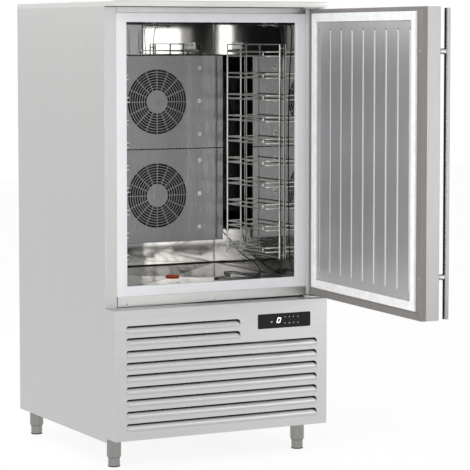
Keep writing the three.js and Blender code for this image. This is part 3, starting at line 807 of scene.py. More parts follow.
def cable_route():
    """The cable from its gland, down behind the rack, over the floor, and up to the probe's handle."""
    falling = [
        (0.3117, 0.520, 0.738), (0.300, 0.520, 0.738), (0.288, 0.509, 0.735), (0.284, 0.482, 0.727),
        (0.291, 0.445, 0.704), (0.299, 0.412, 0.679), (0.302, 0.372, 0.656), (0.305, 0.325, 0.642),
        (0.307, 0.278, 0.630), (0.303, 0.236, 0.614),
    ]
    lying = [
        (0.290, 0.208), (0.268, 0.196), (0.248, 0.208), (0.239, 0.240), (0.236, 0.284), (0.226, 0.306),
        (0.204, 0.308), (0.192, 0.290), (0.186, 0.250), (0.172, 0.210), (0.138, 0.190), (0.102, 0.176),
        (0.084, 0.152), (0.100, 0.128), (0.216, 0.116), (0.230, 0.099), (0.216, 0.082), (0.084, 0.068),
        (0.069, 0.050), (0.084, 0.032), (0.190, 0.028), (0.262, 0.033),
    ]
    rising = [
        (0.291, 0.050, 0.6065), (0.302, 0.074, 0.640), (0.305, 0.086, 0.800), (0.305, 0.086, 1.250),
        (0.303, 0.072, 1.425), (0.300, 0.077, 1.458), (0.299, 0.092, 1.472),
        (PROBE_X, PROBE_FRONT - 0.0003, PROBE_Z),
    ]
    on_floor = [(x, y, floor_height(x, y) + CABLE_LIFT) for x, y in lying]
    return [Vector(p) for p in [*falling, *on_floor, *rising]]


def smooth_line(points, steps=8):
    """A centripetal curve through the points, with an even number of steps between each two."""
    ends = [points[0] * 2 - points[1], *points, points[-1] * 2 - points[-2]]
    line = [points[0].copy()]
    for p0, p1, p2, p3 in zip(ends, ends[1:], ends[2:], ends[3:]):
        t1 = (p1 - p0).length ** 0.5
        t2 = t1 + (p2 - p1).length ** 0.5
        t3 = t2 + (p3 - p2).length ** 0.5
        for step in range(1, steps + 1):
            t = t1 + (t2 - t1) * step / steps
            a1 = p0 * ((t1 - t) / t1) + p1 * (t / t1)
            a2 = p1 * ((t2 - t) / (t2 - t1)) + p2 * ((t - t1) / (t2 - t1))
            a3 = p2 * ((t3 - t) / (t3 - t2)) + p3 * ((t - t2) / (t3 - t2))
            b1 = a1 * ((t2 - t) / t2) + a2 * (t / t2)
            b2 = a2 * ((t3 - t) / (t3 - t1)) + a3 * ((t - t1) / (t3 - t1))
            line.append(b1 * ((t2 - t) / (t2 - t1)) + b2 * ((t - t1) / (t2 - t1)))
    return line


class ChillerProbe(bpy.types.Operator):
    """Food probe in its clip, with its cable and the gland it comes from"""

    bl_idname = "chiller.probe"
    bl_label = "Probe and cable"

    def execute(self, context):
        handle = [
            (0.0, 0.0), (0.0032, 0.0), (0.0045, 0.002), (0.0045, 0.030), (0.0036, 0.034),
            (0.0018, 0.036), (0.0, 0.036),
        ]
        needle = [(0.0, 0.0355), (0.00175, 0.0355), (0.00175, 0.124), (0.0012, 0.130), (0.0, 0.134)]
        parts = []
        for name, profile, stands_for in (
            ("probe_handle", handle, ["food_probe"]),
            ("probe_needle", needle, []),
        ):
            mesh = bmesh.new()
            add_turned(mesh, profile, (PROBE_X, PROBE_FRONT, PROBE_Z), "back", steps=20)
            parts.append(make_piece(name, mesh, "polished", "cabinet", stands_for))
        self.lay_cable(context.scene, parts)

        mesh = bmesh.new()
        gland = [
            (0.0, 0.0), (0.014, 0.0), (0.014, 0.002), (0.0125, 0.0032), (0.009, 0.0034),
            (0.0085, 0.0055), (0.0058, 0.0085), (0.0032, 0.0101), (0.0, 0.0102),
        ]
        add_turned(mesh, gland, GLAND, "left", steps=24)
        make_piece("wall_gland", mesh, "black_moulding", "cabinet", ["cable_gland"])

        mesh = bmesh.new()
        ring = arc((PROBE_X, PROBE_Z), 0.0055, -90, 270, 20)
        add_wire(mesh, [(x, CLIP_Y, z) for x, z in ring], 0.0013)
        for half_x, half_y, low, high, fold in (
            (0.002, 0.0015, 1.4774, 1.4848, 0.0006),
            (0.012, 0.008, 1.4845, CLIP_TOP, 0.0005),
        ):
            near = (PROBE_X - half_x, CLIP_Y - half_y, low)
            far = (PROBE_X + half_x, CLIP_Y + half_y, high)
            add_rounded_block(mesh, near, far, fold, 2)
        make_piece("needle_clip", mesh, "polished", "cabinet", ["probe_clip"])
        return {"FINISHED"}

    @staticmethod
    def lay_cable(scene, parts):
        """The cable, which hangs from the probe's handle. The parts, the handle first among them, are not
        used.
        """
        line = [CABINET @ p for p in smooth_line(cable_route())]
        curve = bpy.data.curves.new("probe_lead", "CURVE")
        curve.dimensions = "3D"
        curve.bevel_depth = sizes().cable / 2
        curve.bevel_resolution = 3
        curve.use_fill_caps = True
        spline = curve.splines.new("POLY")
        spline.points.add(len(line) - 1)
        for point, place in zip(spline.points, line):
            point.co = (*place, 1.0)
        curve.materials.append(finish_named("cable_jacket"))
        lead = bpy.data.objects.new("probe_lead", curve)
        scene.collection.objects.link(lead)
        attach(lead, "cabinet")
        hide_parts("probe_cable")


# ------------------------------------------------------------------ cabinet

CAP_BOTTOM, CAP_TOP, CAP_SHELL = 1.531, 1.550, 0.002
SILL_BOTTOM, SILL_TOP, SILL_HALF = 0.5352, 0.5733, 0.3556
FRAME_DEPTH = 0.012


class ChillerTopCap(bpy.types.Operator):
    """Top cap with its rolled front lip"""

    bl_idname = "chiller.top_cap"
    bl_label = "Top cap"

    def execute(self, context):
        mesh = bmesh.new()
        made = add_block(mesh, (-HALF_WIDTH, FRONT_Y, CAP_BOTTOM), (HALF_WIDTH, BACK_Y, CAP_TOP))
        faces = {f for v in made for f in v.link_faces}
        underside = min(faces, key=lambda f: f.calc_center_median().z)
        bmesh.ops.inset_region(mesh, faces=[underside], thickness=CAP_SHELL, use_even_offset=True)
        grown = bmesh.ops.extrude_face_region(mesh, geom=[underside])["geom"]
        move(mesh, verts_in(grown), (0, 0, CAP_TOP - CAP_BOTTOM - CAP_SHELL))
        top_rim = edges_where(mesh, lambda p: p.z > CAP_TOP - 10 * TINY)
        round_edges(mesh, top_rim, sizes().fold_radius, 4)
        make_piece("rolled_top_cap", mesh, "painted_lighter_steel", "cabinet", ["top_cap"])
        mesh = bmesh.new()
        add_block(mesh, (-0.398, -0.0055, 1.5292), (0.398, -0.0005, 1.5325))
        make_piece("cap_joint_seal", mesh, "dark_seal_and_painted_shade", "cabinet")
        return {"FINISHED"}


class ChillerFrontFrame(bpy.types.Operator):
    """Stainless posts and top rail, rounded sill, and the plastic breaker frame inside them"""

    bl_idname = "chiller.front_frame"
    bl_label = "Front and breaker frames"

    def execute(self, context):
        fold, bulge = sizes().fold_radius, sizes().sill_bulge
        mesh = bmesh.new()
        for inner, outer in ((-0.3985, -0.356), (0.356, 0.3985)):
            low, high = (inner, 0.0, SILL_BOTTOM), (outer, FRAME_DEPTH, CAP_BOTTOM)
            add_rounded_block(mesh, low, high, fold * 0.6, 3, along="Z", front_of=0.001)
        low, high = (-0.3558, 0.0004, 1.510), (0.3558, FRAME_DEPTH, CAP_BOTTOM)
        add_rounded_block(mesh, low, high, fold * 0.5, 3, along="X", front_of=0.001)
        make_piece("posts_and_top_rail", mesh, "satin_upright", "cabinet", ["front_frame"])

        mesh = bmesh.new()
        low, high = (0.3566, -0.0012, 0.545), (0.3702, 0.0004, 1.5255)
        add_rounded_block(mesh, low, high, 0.0010, 2, along="Z", front_of=0.0)
        make_piece("hinge_side_strip", mesh, "breaker_plastic", "cabinet")

        mesh = bmesh.new()
        add_prism(mesh, [(-SILL_HALF, y, z) for y, z in self.sill_section(bulge)], (2 * SILL_HALF, 0, 0))
        make_piece("rounded_sill", mesh, "painted_lighter_steel", "cabinet")

        # A dark wedge under the sill, deeper towards the right: painted shadow in the gap at the sill's foot.
        mesh = bmesh.new()
        outline = [
            (SILL_HALF, 0.5380), (-SILL_HALF, 0.5380), (-SILL_HALF, 0.5384), (-0.12, 0.5390),
            (-0.02, 0.5422), (SILL_HALF, 0.5434),
        ]
        add_prism(mesh, [(x, -0.0042, z) for x, z in outline], (0, 0.012, 0))
        make_piece("sill_foot_painted_shadow", mesh, "dark_seal_and_painted_shade", "cabinet")

        mesh = bmesh.new()
        screw = [(0.0, 0.0016), (0.0018, 0.0015), (0.0032, 0.0007), (0.0036, 0.0)]
        for x in (-0.323, 0.002, 0.329):
            add_turned(mesh, screw, (x, -bulge + 0.0004, 0.548), "front", steps=16)
        make_piece("sill_screws", mesh, "polished", "cabinet")

        mesh = bmesh.new()
        width = 0.037
        section = [
            (0.0, FRAME_DEPTH), *arc((0.0015, 0.0005), 0.0015, 180, 270, 3),
            *arc((width - 0.002, 0.001), 0.002, 270, 360, 4), (width, FRAME_DEPTH),
        ]
        add_ring_section(mesh, (0.356, 0.573, 1.510), (0.356 - width, 0.607, 1.4795), section)
        nodes = ["breaker_frame"]
        make_piece("breaker_surround", mesh, "breaker_plastic", "cabinet", nodes)
        return {"FINISHED"}

    @staticmethod
    def sill_section(bulge):
        """A flat face with a small fold at its top and a wide one that rolls under at its foot."""
        crown, roll = 0.0012, 0.010
        upper = arc((-bulge + crown, SILL_TOP - crown), crown, 90, 180, 4)
        turns = [share * math.pi / 2 for share in (0, 0.2, 0.4, 0.6, 0.8, 1)]
        lower = [(-bulge * math.cos(t), SILL_BOTTOM + roll * (1 - math.sin(t))) for t in turns]
        return [(FRAME_DEPTH, SILL_TOP), *upper, *lower, (FRAME_DEPTH, SILL_BOTTOM)]


LOUVRE_TOPS = (0.161, 0.202, 0.242, 0.283, 0.324, 0.364, 0.404, 0.445, 0.485)
LOUVRE_LEFT, LOUVRE_RIGHT, SHORT_LOUVRE_RIGHT = -0.357, 0.360, 0.064
BOX_BOTTOM, BOX_TOP = 0.104, 0.538


def louvre_rows():
    """Each louvre's left, right, bottom and top: the two highest stop short of the controls."""
    for row, top in enumerate(LOUVRE_TOPS):
        right = SHORT_LOUVRE_RIGHT if row >= len(LOUVRE_TOPS) - 2 else LOUVRE_RIGHT
        yield LOUVRE_LEFT, right, top - sizes().louvre_height, top


class ChillerLouvrePanel(bpy.types.Operator):
    """Front of the machine compartment with its pressed louvres"""

    bl_idname = "chiller.louvre_panel"
    bl_label = "Louvre panel"

    def execute(self, context):
        self.fold_front()
        mesh = bmesh.new()
        for row in louvre_rows():
            self.press_blade(mesh, row)
        turn_outwards(mesh)
        turn_to_front(mesh)
        bmesh.ops.solidify(mesh, geom=mesh.faces[:], thickness=INNER_SHEET)
        make_piece("pressed_louvres", mesh, "satin_across", "cabinet", smooth=50)
        return {"FINISHED"}

    @staticmethod
    def fold_front():
        """The sheet with a window for each louvre, folded back at its sides, foot and top."""
        fold, corner, lap = sizes().fold_radius, sizes().louvre_corner, 0.001
        half, low, high = HALF_WIDTH - fold, BOX_BOTTOM + lap, BOX_TOP - lap
        mesh = bmesh.new()
        edges = add_loop(mesh, upright_rectangle(half, FRONT_Y, low, high))
        for left, right, bottom, top in louvre_rows():
            near = arc((right - corner, top - corner), corner, 0, 90, 6)
            far = arc((left + corner * 0.5, top - corner * 0.5), corner * 0.5, 90, 180, 4)
            window = [(left, bottom), (right, bottom), *near, *far]
            edges += add_loop(mesh, [(x, FRONT_Y, z) for x, z in window])
        fill_flat(mesh, edges)
        turn_to_front(mesh)
        for side in (-1, 1):
            rim = edges_where(mesh, lambda p: abs(p.x - side * half) < TINY)
            spun = bmesh.ops.spin(
                mesh,
                geom=rim,
                cent=(side * half, FRONT_Y + fold, 0.3),
                axis=(0, 0, side),
                angle=math.radians(90),
                steps=4,
                use_merge=False,
                use_duplicate=False,
            )["geom_last"]
            for vert in extrude_rim(mesh, edges_in(spun))[0]:
                vert.co.y = 0.0
        for z, out in ((low, -lap), (high, lap)):
            rim = edges_where(mesh, lambda p: abs(p.z - z) < TINY and abs(p.y - FRONT_Y) < TINY)
            rim = extrude_rim(mesh, rim, (0, lap, out))[1]
            for vert in extrude_rim(mesh, rim)[0]:
                vert.co.y = 0.0
        flat = [f for f in mesh.faces if abs(f.calc_center_median().y - FRONT_Y) < 10 * TINY]
        thicken(mesh, max(flat, key=lambda f: f.calc_area()), OUTER_SHEET)
        make_piece("louvre_front", mesh, "satin_across", "cabinet", ["louvre_panel"], 28)

    @staticmethod
    def press_blade(mesh, row):
        """One louvre: it swells out of the sheet from its foot, then dips in behind the slot."""
        left, right, bottom, top = row
        depth, slot = sizes().louvre_depth, sizes().louvre_gap
        right_end, left_end, gap, swell, proud = 0.015, 0.009, 0.0004, 0.0026, 0.0003
        columns, rows, crowding = 48, 6, 0.35
        made = bmesh.ops.create_grid(mesh, x_segments=columns, y_segments=rows, size=0.5)["verts"]
        for vert in made:
            u, v = vert.co.x + 0.5, vert.co.y + 0.5
            centred = 2 * u - 1
            u = 0.5 + 0.5 * math.copysign(abs(centred) ** crowding, centred)
            x = left + gap + (right - left - 2 * gap) * u
            near_right = max(0.0, 1 - (right - x) / right_end)
            near_left = max(0.0, 1 - (x - left) / left_end)
            drop = (slot * 1.6) * near_right**2 + slot * near_left**2
            z = bottom + (top - slot - drop - bottom) * v
            ends = 1 - max(near_right, near_left) ** 3 * (1 - 0.75 * v)
            dip = depth * v**3 - swell * math.sin(math.pi * v**0.8)
            vert.co = (x, FRONT_Y + proud + dip * ends, z)


class ChillerControls(bpy.types.Operator):
    """Touch panel with a lit digit and plain key marks"""

    bl_idname = "chiller.controls"
    bl_label = "Control panel"

    def execute(self, context):
        left, right, bottom, top = 0.131, 0.334, 0.445, 0.495
        front, corner, edge = FRONT_Y - 0.0015, 0.004, 0.0005
        mesh = bmesh.new()
        add_rounded_block(mesh, (left, front, bottom), (right, FRONT_Y, top), corner, 5, along="Y")
        round_edges(mesh, edges_where(mesh, lambda p: p.y < front + TINY), edge, 2)
        make_piece("touch_panel", mesh, "panel_glass", "cabinet", ["control_panel"])

        digits, marks = bmesh.new(), bmesh.new()
        self.draw_digit(digits, 0.2110, 0.4715, front)
        make_piece("lit_digit", digits, "lit_digit", "cabinet")
        for x in (0.2345, 0.2515, 0.2680, 0.2850):
            for z in (0.4815, 0.4605):
                self.draw_star(marks, x, z, front, 0.0022, (0, 90), 0.0011)
        self.draw_star(marks, 0.183, 0.467, front, 0.0042, (90, 150, 210), 0.0009)
        make_piece("key_marks", marks, "key_print", "cabinet")
        return {"FINISHED"}

    @staticmethod
    def draw_bar(mesh, start, end, width, y):
        """A printed bar that stands just proud of the panel."""
        (x0, z0), (x1, z1) = start, end
        along = Vector((x1 - x0, 0, z1 - z0))
        reach, proud, sunk = along.length / 2, 0.00008, 0.00004
        made = add_block(mesh, (-reach, -proud, -width / 2), (reach, sunk, width / 2))
        turn = Matrix.Rotation(-math.atan2(along.z, along.x), 4, "Y")
        place = Matrix.Translation(((x0 + x1) / 2, y, (z0 + z1) / 2))
        bmesh.ops.transform(mesh, matrix=place @ turn, verts=made)

    def draw_digit(self, mesh, x, z, y):
        """A seven-segment nought, leaning a little."""
        w, h, lean = 0.0056, 0.0076, 0.0022
        corners = [
            (x - w - lean, z - h), (x + w - lean, z - h), (x + w, z),
            (x + w + lean, z + h), (x - w + lean, z + h), (x - w, z),
        ]
        for a, b in zip(corners, corners[1:] + corners[:1]):
            self.draw_bar(mesh, a, b, 0.0030, y)

    def draw_star(self, mesh, x, z, y, reach, angles, width):
        """Bars that cross in their middle: a key's plus, or the frost mark."""
        for angle in angles:
            dx, dz = reach * math.cos(math.radians(angle)), reach * math.sin(math.radians(angle))
            self.draw_bar(mesh, (x - dx, z - dz), (x + dx, z + dz), width, y)


# ------------------------------------------------------------------ chamber

COVER_Y, COVER_HALF, COVER_BOTTOM, COVER_SEAM, COVER_TOP = 0.437, 0.262, 0.703, 1.0345, 1.366
FAN_Z = {"lower": 0.870, "upper": 1.202}
NUT_X, NUT_Z = (-0.168, 0.168), (0.752, 0.872, 0.991, 1.085, 1.204, 1.322)


class ChillerEvaporatorCovers(bpy.types.Operator):
    """Evaporator covers with their pressed fan grilles and domed nuts, and a dark sheet under the coil that
    paints shade behind the covers
    """

    bl_idname = "chiller.evaporator_covers"
    bl_label = "Evaporator covers"

    def execute(self, context):
        self.press_cover("lower", COVER_BOTTOM, COVER_SEAM - 0.0002)
        self.press_cover("upper", COVER_SEAM + 0.0002, COVER_TOP)
        mesh = bmesh.new()
        nut = [
            (0.0, -0.0006), (0.0078, -0.0006), (0.0082, 0.0), (0.0078, 0.0007), (0.0058, 0.0009),
            (0.0056, 0.0030), *arc((0.0, 0.0030), 0.0050, 0, 90, 5),
        ]
        for x in NUT_X:
            for z in NUT_Z:
                add_turned(mesh, nut, (x, COVER_Y - 0.0004, z), "front", steps=18)
        make_piece("cover_nuts", mesh, "nut_steel", "cabinet", smooth=40)
        # A dark sheet under the coil: painted shade that keeps the bright back wall from showing behind the
        # lower cover.
        mesh = bmesh.new()
        add_rounded_block(mesh, (-0.258, 0.6000, 0.735), (0.258, 0.6012, 0.7895), 0.0003, 1)
        make_piece("coil_painted_shade_sheet", mesh, "dark_seal_and_painted_shade", "cabinet")
        return {"FINISHED"}

    def press_cover(self, place, bottom, top):
        fold, depth, near_seam = 0.0015, 0.0185, 0.004
        mesh = bmesh.new()
        centre, rim_edges = self.cut_grille(mesh, FAN_Z[place])
        outline = upright_rectangle(COVER_HALF - fold, COVER_Y, bottom + fold, top - fold)
        outside = add_loop(mesh, outline)
        fill_flat(mesh, outside + rim_edges)
        sides = [e for e in outside if any(abs(v.co.z - COVER_SEAM) >= near_seam for v in e.verts)]
        verts, rim = extrude_rim(mesh, sides)
        for vert in verts:
            vert.co.x += math.copysign(fold, vert.co.x)
            if abs(vert.co.z - COVER_SEAM) > near_seam:
                vert.co.z += math.copysign(fold, vert.co.z - (bottom + top) / 2)
            vert.co.y += fold
        extrude_rim(mesh, rim, (0, depth, 0))
        thicken(mesh, centre, INNER_SHEET)
        nodes = [f"evaporator_cover_{place}"]
        make_piece(f"{place}_cover_with_grille", mesh, "cover_sheet", "cabinet", nodes)

    @staticmethod
    def cut_grille(mesh, centre_z):
        """Rings of curved slots between sixteen spokes, round a closed middle with a dimple."""
        rings, spokes, parts = 8, 16, 5
        hub, outer, rim, bridge, spoke = 0.0415, 0.1141, 0.119, sizes().bridge, sizes().spoke
        dimple = {0.0035: 0.0004, 0.0065: -0.0011, 0.0095: -0.0008, 0.0125: 0.0}
        slot = (outer - hub - (rings - 1) * bridge) / rings
        radii = [*dimple, hub]
        for _ in range(rings):
            radii += [radii[-1] + slot, radii[-1] + slot + bridge]
        radii[-1] = rim
        line = [mesh.verts.new((r, COVER_Y, 0.0)) for r in radii]
        edges = [mesh.edges.new(pair) for pair in zip(line, line[1:])]
        bmesh.ops.spin(
            mesh,
            geom=line + edges,
            cent=(0, COVER_Y, 0),
            axis=(0, 1, 0),
            angle=math.tau,
            steps=spokes * parts,
            use_merge=True,
            use_duplicate=False,
        )
        step, whole = math.tau / (spokes * parts), math.tau / spokes
        ring_of, part_of = {}, {}
        for vert in mesh.verts:
            away = math.hypot(vert.co.x, vert.co.z)
            turn = round(math.atan2(vert.co.z, vert.co.x) / step) % (spokes * parts)
            sector, part = divmod(turn, parts)
            ring = min(range(len(radii)), key=lambda i: abs(radii[i] - away))
            ring_of[vert], part_of[vert] = ring, part
            half_spoke = math.asin(spoke / 2 / max(radii[ring], hub))
            between = half_spoke + (whole - 2 * half_spoke) * (part - 1) / (parts - 1)
            angle, radius = sector * whole + (between if part else -half_spoke), radii[ring]
            x, z = radius * math.cos(angle), radius * math.sin(angle) + centre_z
            vert.co = (x, COVER_Y + dimple.get(radius, 0.0), z)
        slots = []
        for face in mesh.faces:
            first = min(ring_of[v] for v in face.verts) - len(dimple)
            over_spoke = {part_of[v] for v in face.verts} == {0, 1}
            if first >= 0 and first % 2 == 0 and not over_spoke:
                slots.append(face)
        hub_edges = [e for e in mesh.edges if all(ring_of[v] == 0 for v in e.verts)]
        rim_edges = [e for e in mesh.edges if all(ring_of[v] == len(radii) - 1 for v in e.verts)]
        bmesh.ops.delete(mesh, geom=slots, context="FACES_ONLY")
        middle = bmesh.ops.contextual_create(mesh, geom=hub_edges)["faces"][0]
        bmesh.ops.delete(mesh, geom=[e for e in mesh.edges if not e.link_faces], context="EDGES")
        return middle, [e for e in rim_edges if e.is_valid]


RACK_OUTER, RACK_INNER, RACK_FRONT, RACK_REAR = 0.311, 0.257, 0.103, 0.393
RACK_LEVELS, RACK_FIRST, RACK_PITCH, RACK_PAIR = 10, 0.6915, 0.0756, 0.0075
RACK_BOTTOM, RACK_TOP, RACK_LINK_Y, RACK_MOUNT_INSET = 0.659, 1.405, 0.124, 0.013
RAIL_RADIUS = 0.002


class ChillerRacks(bpy.types.Operator):
    """Wire tray racks on both walls, a pair of wires for each of the ten levels"""

    bl_idname = "chiller.racks"
    bl_label = "Tray racks"

    def execute(self, context):
        for name, side in (("left", -1), ("right", 1)):
            self.bend_rack(name, side)
        return {"FINISHED"}

    @staticmethod
    def bend_rack(name, side):
        """The rack of the right side, turned over for the left, where the front wires have no link."""
        wire, upright = sizes().wire / 2, sizes().upright / 2
        outer_front, inner_front = (RACK_OUTER, RACK_FRONT), (RACK_INNER, RACK_FRONT)
        outer_rear, inner_rear = (RACK_OUTER, RACK_REAR), (RACK_INNER, RACK_REAR)
        mesh = bmesh.new()
        for level in range(RACK_LEVELS):
            centre = RACK_FIRST + level * RACK_PITCH
            low, high = centre - RACK_PAIR, centre + RACK_PAIR
            for z in (low, high):
                corners = [(x, y, z) for x, y in (outer_front, inner_front, inner_rear, outer_rear)]
                add_wire(mesh, rounded_path(corners, 0.014), wire)
            if side > 0:
                add_rod(mesh, (RACK_INNER, RACK_LINK_Y, low), (RACK_INNER, RACK_LINK_Y, high), wire, 10)
        for foot in (outer_front, outer_rear, inner_rear):
            add_rod(mesh, (*foot, RACK_BOTTOM), (*foot, RACK_TOP), upright, 12, round_ends=0.0012)
        for z in (RACK_BOTTOM + 2 * RAIL_RADIUS, RACK_TOP):
            add_rod(mesh, (*outer_front, z), (*outer_rear, z), RAIL_RADIUS, 10)
        add_rod(mesh, (*inner_rear, RACK_TOP), (*outer_rear, RACK_TOP), RAIL_RADIUS, 10)
        strips = bmesh.new()
        for y in (RACK_FRONT, RACK_REAR):
            for z in (RACK_BOTTOM + RACK_MOUNT_INSET, RACK_TOP - RACK_MOUNT_INSET):
                add_rod(mesh, (RACK_OUTER, y, z), (CHAMBER_HALF, y, z), RAIL_RADIUS, 10)
            low_corner = (CHAMBER_HALF - 0.0015, y - 0.01, RACK_BOTTOM)
            add_rounded_block(strips, low_corner, (CHAMBER_HALF, y + 0.01, RACK_TOP), 0.0005, 1)
        if side < 0:
            for made in (mesh, strips):
                bmesh.ops.scale(made, vec=(-1, 1, 1), verts=made.verts)
                turn_outwards(made)
        make_piece(f"{name}_wire_rack", mesh, "rack_wire", "cabinet", [f"{name}_rack"], 45)
        make_piece(f"{name}_rack_strips", strips, "liner_sheet", "cabinet")


class ChillerChamberFittings(bpy.types.Operator):
    """Seams, corner folds, cover bracket and the drain's plug"""

    bl_idname = "chiller.chamber_fittings"
    bl_label = "Chamber fittings"

    def execute(self, context):
        mesh = bmesh.new()
        add_rounded_block(mesh, (-0.322, 0.6225, 0.5995), (0.322, 0.6268, 0.6035), 0.001, 2)
        make_piece("floor_joint", mesh, "dark_seal_and_painted_shade", "cabinet")

        mesh = bmesh.new()
        wall, back, front, middle, seam, crease = 0.3212, 0.6262, 0.0125, 0.034, 0.0012, 0.0009
        for side in (-1, 1):
            x = side * wall
            add_rod(mesh, (x, back, 0.6005), (x, back, 1.4855), seam, 8)
            add_rod(mesh, (x, front, 0.6008), (x, back, 0.6008), seam, 8)
            for end in (0.0145, 0.6245):
                far = Vector((side * 0.3205, end, FLOOR_EDGE_Z))
                near = (side * middle, DRAIN_Y + (end - DRAIN_Y) * middle / abs(far.x))
                add_rod(mesh, (*near, floor_height(*near)), far, crease, 8)
        make_piece("corner_folds", mesh, "polished", "cabinet")

        mesh = bmesh.new()
        left, right, low, shelf = 0.202, 0.246, 1.386, 0.0014
        add_rounded_block(mesh, (left, 0.6255, low), (right, 0.6269, 1.412), 0.0006, 2)
        add_rounded_block(mesh, (left, 0.600, low), (right, 0.6256, low + shelf), 0.0005, 2)
        for x in (0.213, 0.234):
            add_rod(mesh, (x, 0.6258, 1.402), (x, 0.6215, 1.402), 0.0035, 12, round_ends=0.0012)
        add_rod(mesh, (0.192, 0.612, 1.381), (0.256, 0.612, 1.381), 0.0032, 12, round_ends=0.001)
        make_piece("cover_bracket", mesh, "polished", "cabinet")

        mesh = bmesh.new()
        seat, foot = DRAIN_Z + 0.0008, 0.568
        plug = [
            (0.0, foot), (0.0155, foot), (0.0168, foot + 0.0015), (0.0190, seat - 0.0006),
            *arc((0.0215, seat + 0.0026), 0.0024, -90, 90, 6), (0.0195, seat + 0.0048),
            (0.0060, seat + 0.0045), (0.0045, seat + 0.0052), (0.0, seat + 0.0052),
        ]
        add_turned(mesh, plug, (0.0, DRAIN_Y, 0.0), steps=40)
        make_piece("rubber_plug", mesh, "plug_rubber", "drain_plug", ["drain_plug"])
        return {"FINISHED"}


# ------------------------------------------------------------------ legs and hinges

LEG_PLACES = {
    "front_left": (-0.350, 0.045), "front_right": (0.350, 0.045),
    "rear_left": (-0.350, 0.722), "rear_right": (0.350, 0.722),
}


class ChillerLegs(bpy.types.Operator):
    """Leg sleeves and the levelling feet that screw into them"""

    bl_idname = "chiller.legs"
    bl_label = "Legs and feet"

    def execute(self, context):
        sleeve = [
            (0.0, 0.094), (0.0148, 0.094), (0.0152, 0.0325), (0.0212, 0.0322), (0.0226, 0.0328),
            (0.0238, 0.0352), (0.02425, 0.039), (0.02435, 0.100), (0.0241, 0.1038), (0.0, 0.104),
        ]
        foot = [
            (0.0, 0.0035), (0.0196, 0.0035), (0.0200, 0.0040), (0.0200, 0.0280), (0.0208, 0.0290),
            (0.0208, 0.0312), (0.0202, 0.0317), (0.0143, 0.0317), (0.0143, 0.088), (0.0, 0.088),
        ]
        # A dark rubber pad under each foot, which also paints the shadow where the foot meets the floor.
        pad_with_shadow = [
            (0.0, 0.0), (0.0188, 0.0), (0.0200, 0.0004), (0.0207, 0.0014), (0.0208, 0.0030),
            (0.0202, 0.0036), (0.0, 0.0036),
        ]
        for name, (x, y) in LEG_PLACES.items():
            for kind, profile, finish, body, node, slot, smooth in (
                ("sleeve", sleeve, "leg_steel", "cabinet", [f"{name}_leg"], "bright_steel", 30),
                ("foot_pad_and_shadow", pad_with_shadow, "dark_seal_and_painted_shade", f"{name}_foot", (), "black_plastic", 40),
                ("levelling_foot", foot, "leg_steel", f"{name}_foot", [f"{name}_foot"], "bright_steel", 30),
            ):
                mesh = bmesh.new()
                add_turned(mesh, profile, (x, y, 0.0), steps=48)
                make_piece(f"{name}_{kind}", mesh, finish, body, node, smooth)
        return {"FINISHED"}


class ChillerHinges(bpy.types.Operator):
    """Hinge brackets with their pins, and the screw beside the lower one"""

    bl_idname = "chiller.hinges"
    bl_label = "Hinges"

    def execute(self, context):
        screw = [(0.0, 0.0022), (0.0026, 0.0020), (0.0044, 0.0010), (0.0048, 0.0)]
        for place, low, high, pin_low, pin_high in (
            ("lower", 0.538, 0.543, 0.540, 0.562),
            ("upper", 1.527, 1.531, 1.508, 1.529),
        ):
            mesh = bmesh.new()
            left, right, back, front, pin = 0.340, 0.397, -0.006, -0.058, 0.005
            outline = [(left, back), (left, -0.022), (0.372, front), (right, front), (right, back)]
            add_prism(mesh, [(x, y, low) for x, y in outline], (0, 0, high - low))
            corners = [
                e for e in edges_where(mesh, lambda p: p.y < -0.02)
                if abs(e.verts[0].co.z - e.verts[1].co.z) > 1e-4
            ]
            round_edges(mesh, corners, 0.003, 4)
            round_edges(mesh, sharp_edges(mesh), 0.0005, 2)
            pin_foot, pin_head = (Vector((*HINGE_PIN.xy, z)) for z in (pin_low, pin_high))
            add_rod(mesh, pin_foot, pin_head, pin, 24, round_ends=0.001)
            if place == "lower":
                add_turned(mesh, screw, (0.292, -0.030, low), steps=16)
            nodes = [f"{place}_hinge"]
            make_piece(f"{place}_hinge_bracket", mesh, "satin_across", "cabinet", nodes)
        return {"FINISHED"}


# ------------------------------------------------------------------ door

DOOR_BOTTOM, DOOR_TOP, SKIN_BACK, DOOR_FACE = 0.546, 1.525, -0.028, -0.010
SEAL_OUTER, SEAL_INNER = (0.367, 0.575, 1.511), (0.341, 0.604, 1.482)
LINER_HALF, LINER_BOTTOM, LINER_TOP = 0.3407, 0.6043, 1.4817
RIB_PLACES, RIB_BOTTOM, RIB_TOP = [(rib - 4) * 0.080 for rib in range(9)], 0.632, 1.454
HANDLE_X, HANDLE_HALF, BAR_OUTER, BAR_INNER, POST_Z = -0.388, 0.00825, -0.112, -0.097, (0.681, 1.386)


class ChillerDoorSkin(bpy.types.Operator):
    """Folded outer skin of the door"""

    bl_idname = "chiller.door_skin"
    bl_label = "Door skin"

    def execute(self, context):
        mesh = bmesh.new()
        made = add_block(mesh, (-HALF_WIDTH, FRONT_Y, DOOR_BOTTOM), (HALF_WIDTH, SKIN_BACK, DOOR_TOP))
        back = max({f for v in made for f in v.link_faces}, key=lambda f: f.calc_center_median().y)
        bmesh.ops.delete(mesh, geom=[back], context="FACES_ONLY")
        front = edges_where(mesh, lambda p: p.y < FRONT_Y + TINY)
        upright = [e for e in front if abs(e.verts[0].co.x - e.verts[1].co.x) < TINY]
        round_edges(mesh, upright, sizes().fold_radius * 1.2, 4)
        flat = [e for e in sharp_edges(mesh) if all(v.co.y < FRONT_Y + 10 * TINY for v in e.verts)]
        round_edges(mesh, flat, 0.0015, 3)
        thicken(mesh, max(mesh.faces, key=lambda f: f.calc_area()), OUTER_SHEET)
        make_piece("folded_door_skin", mesh, "satin_door", "door", ["door_skin"])
        return {"FINISHED"}


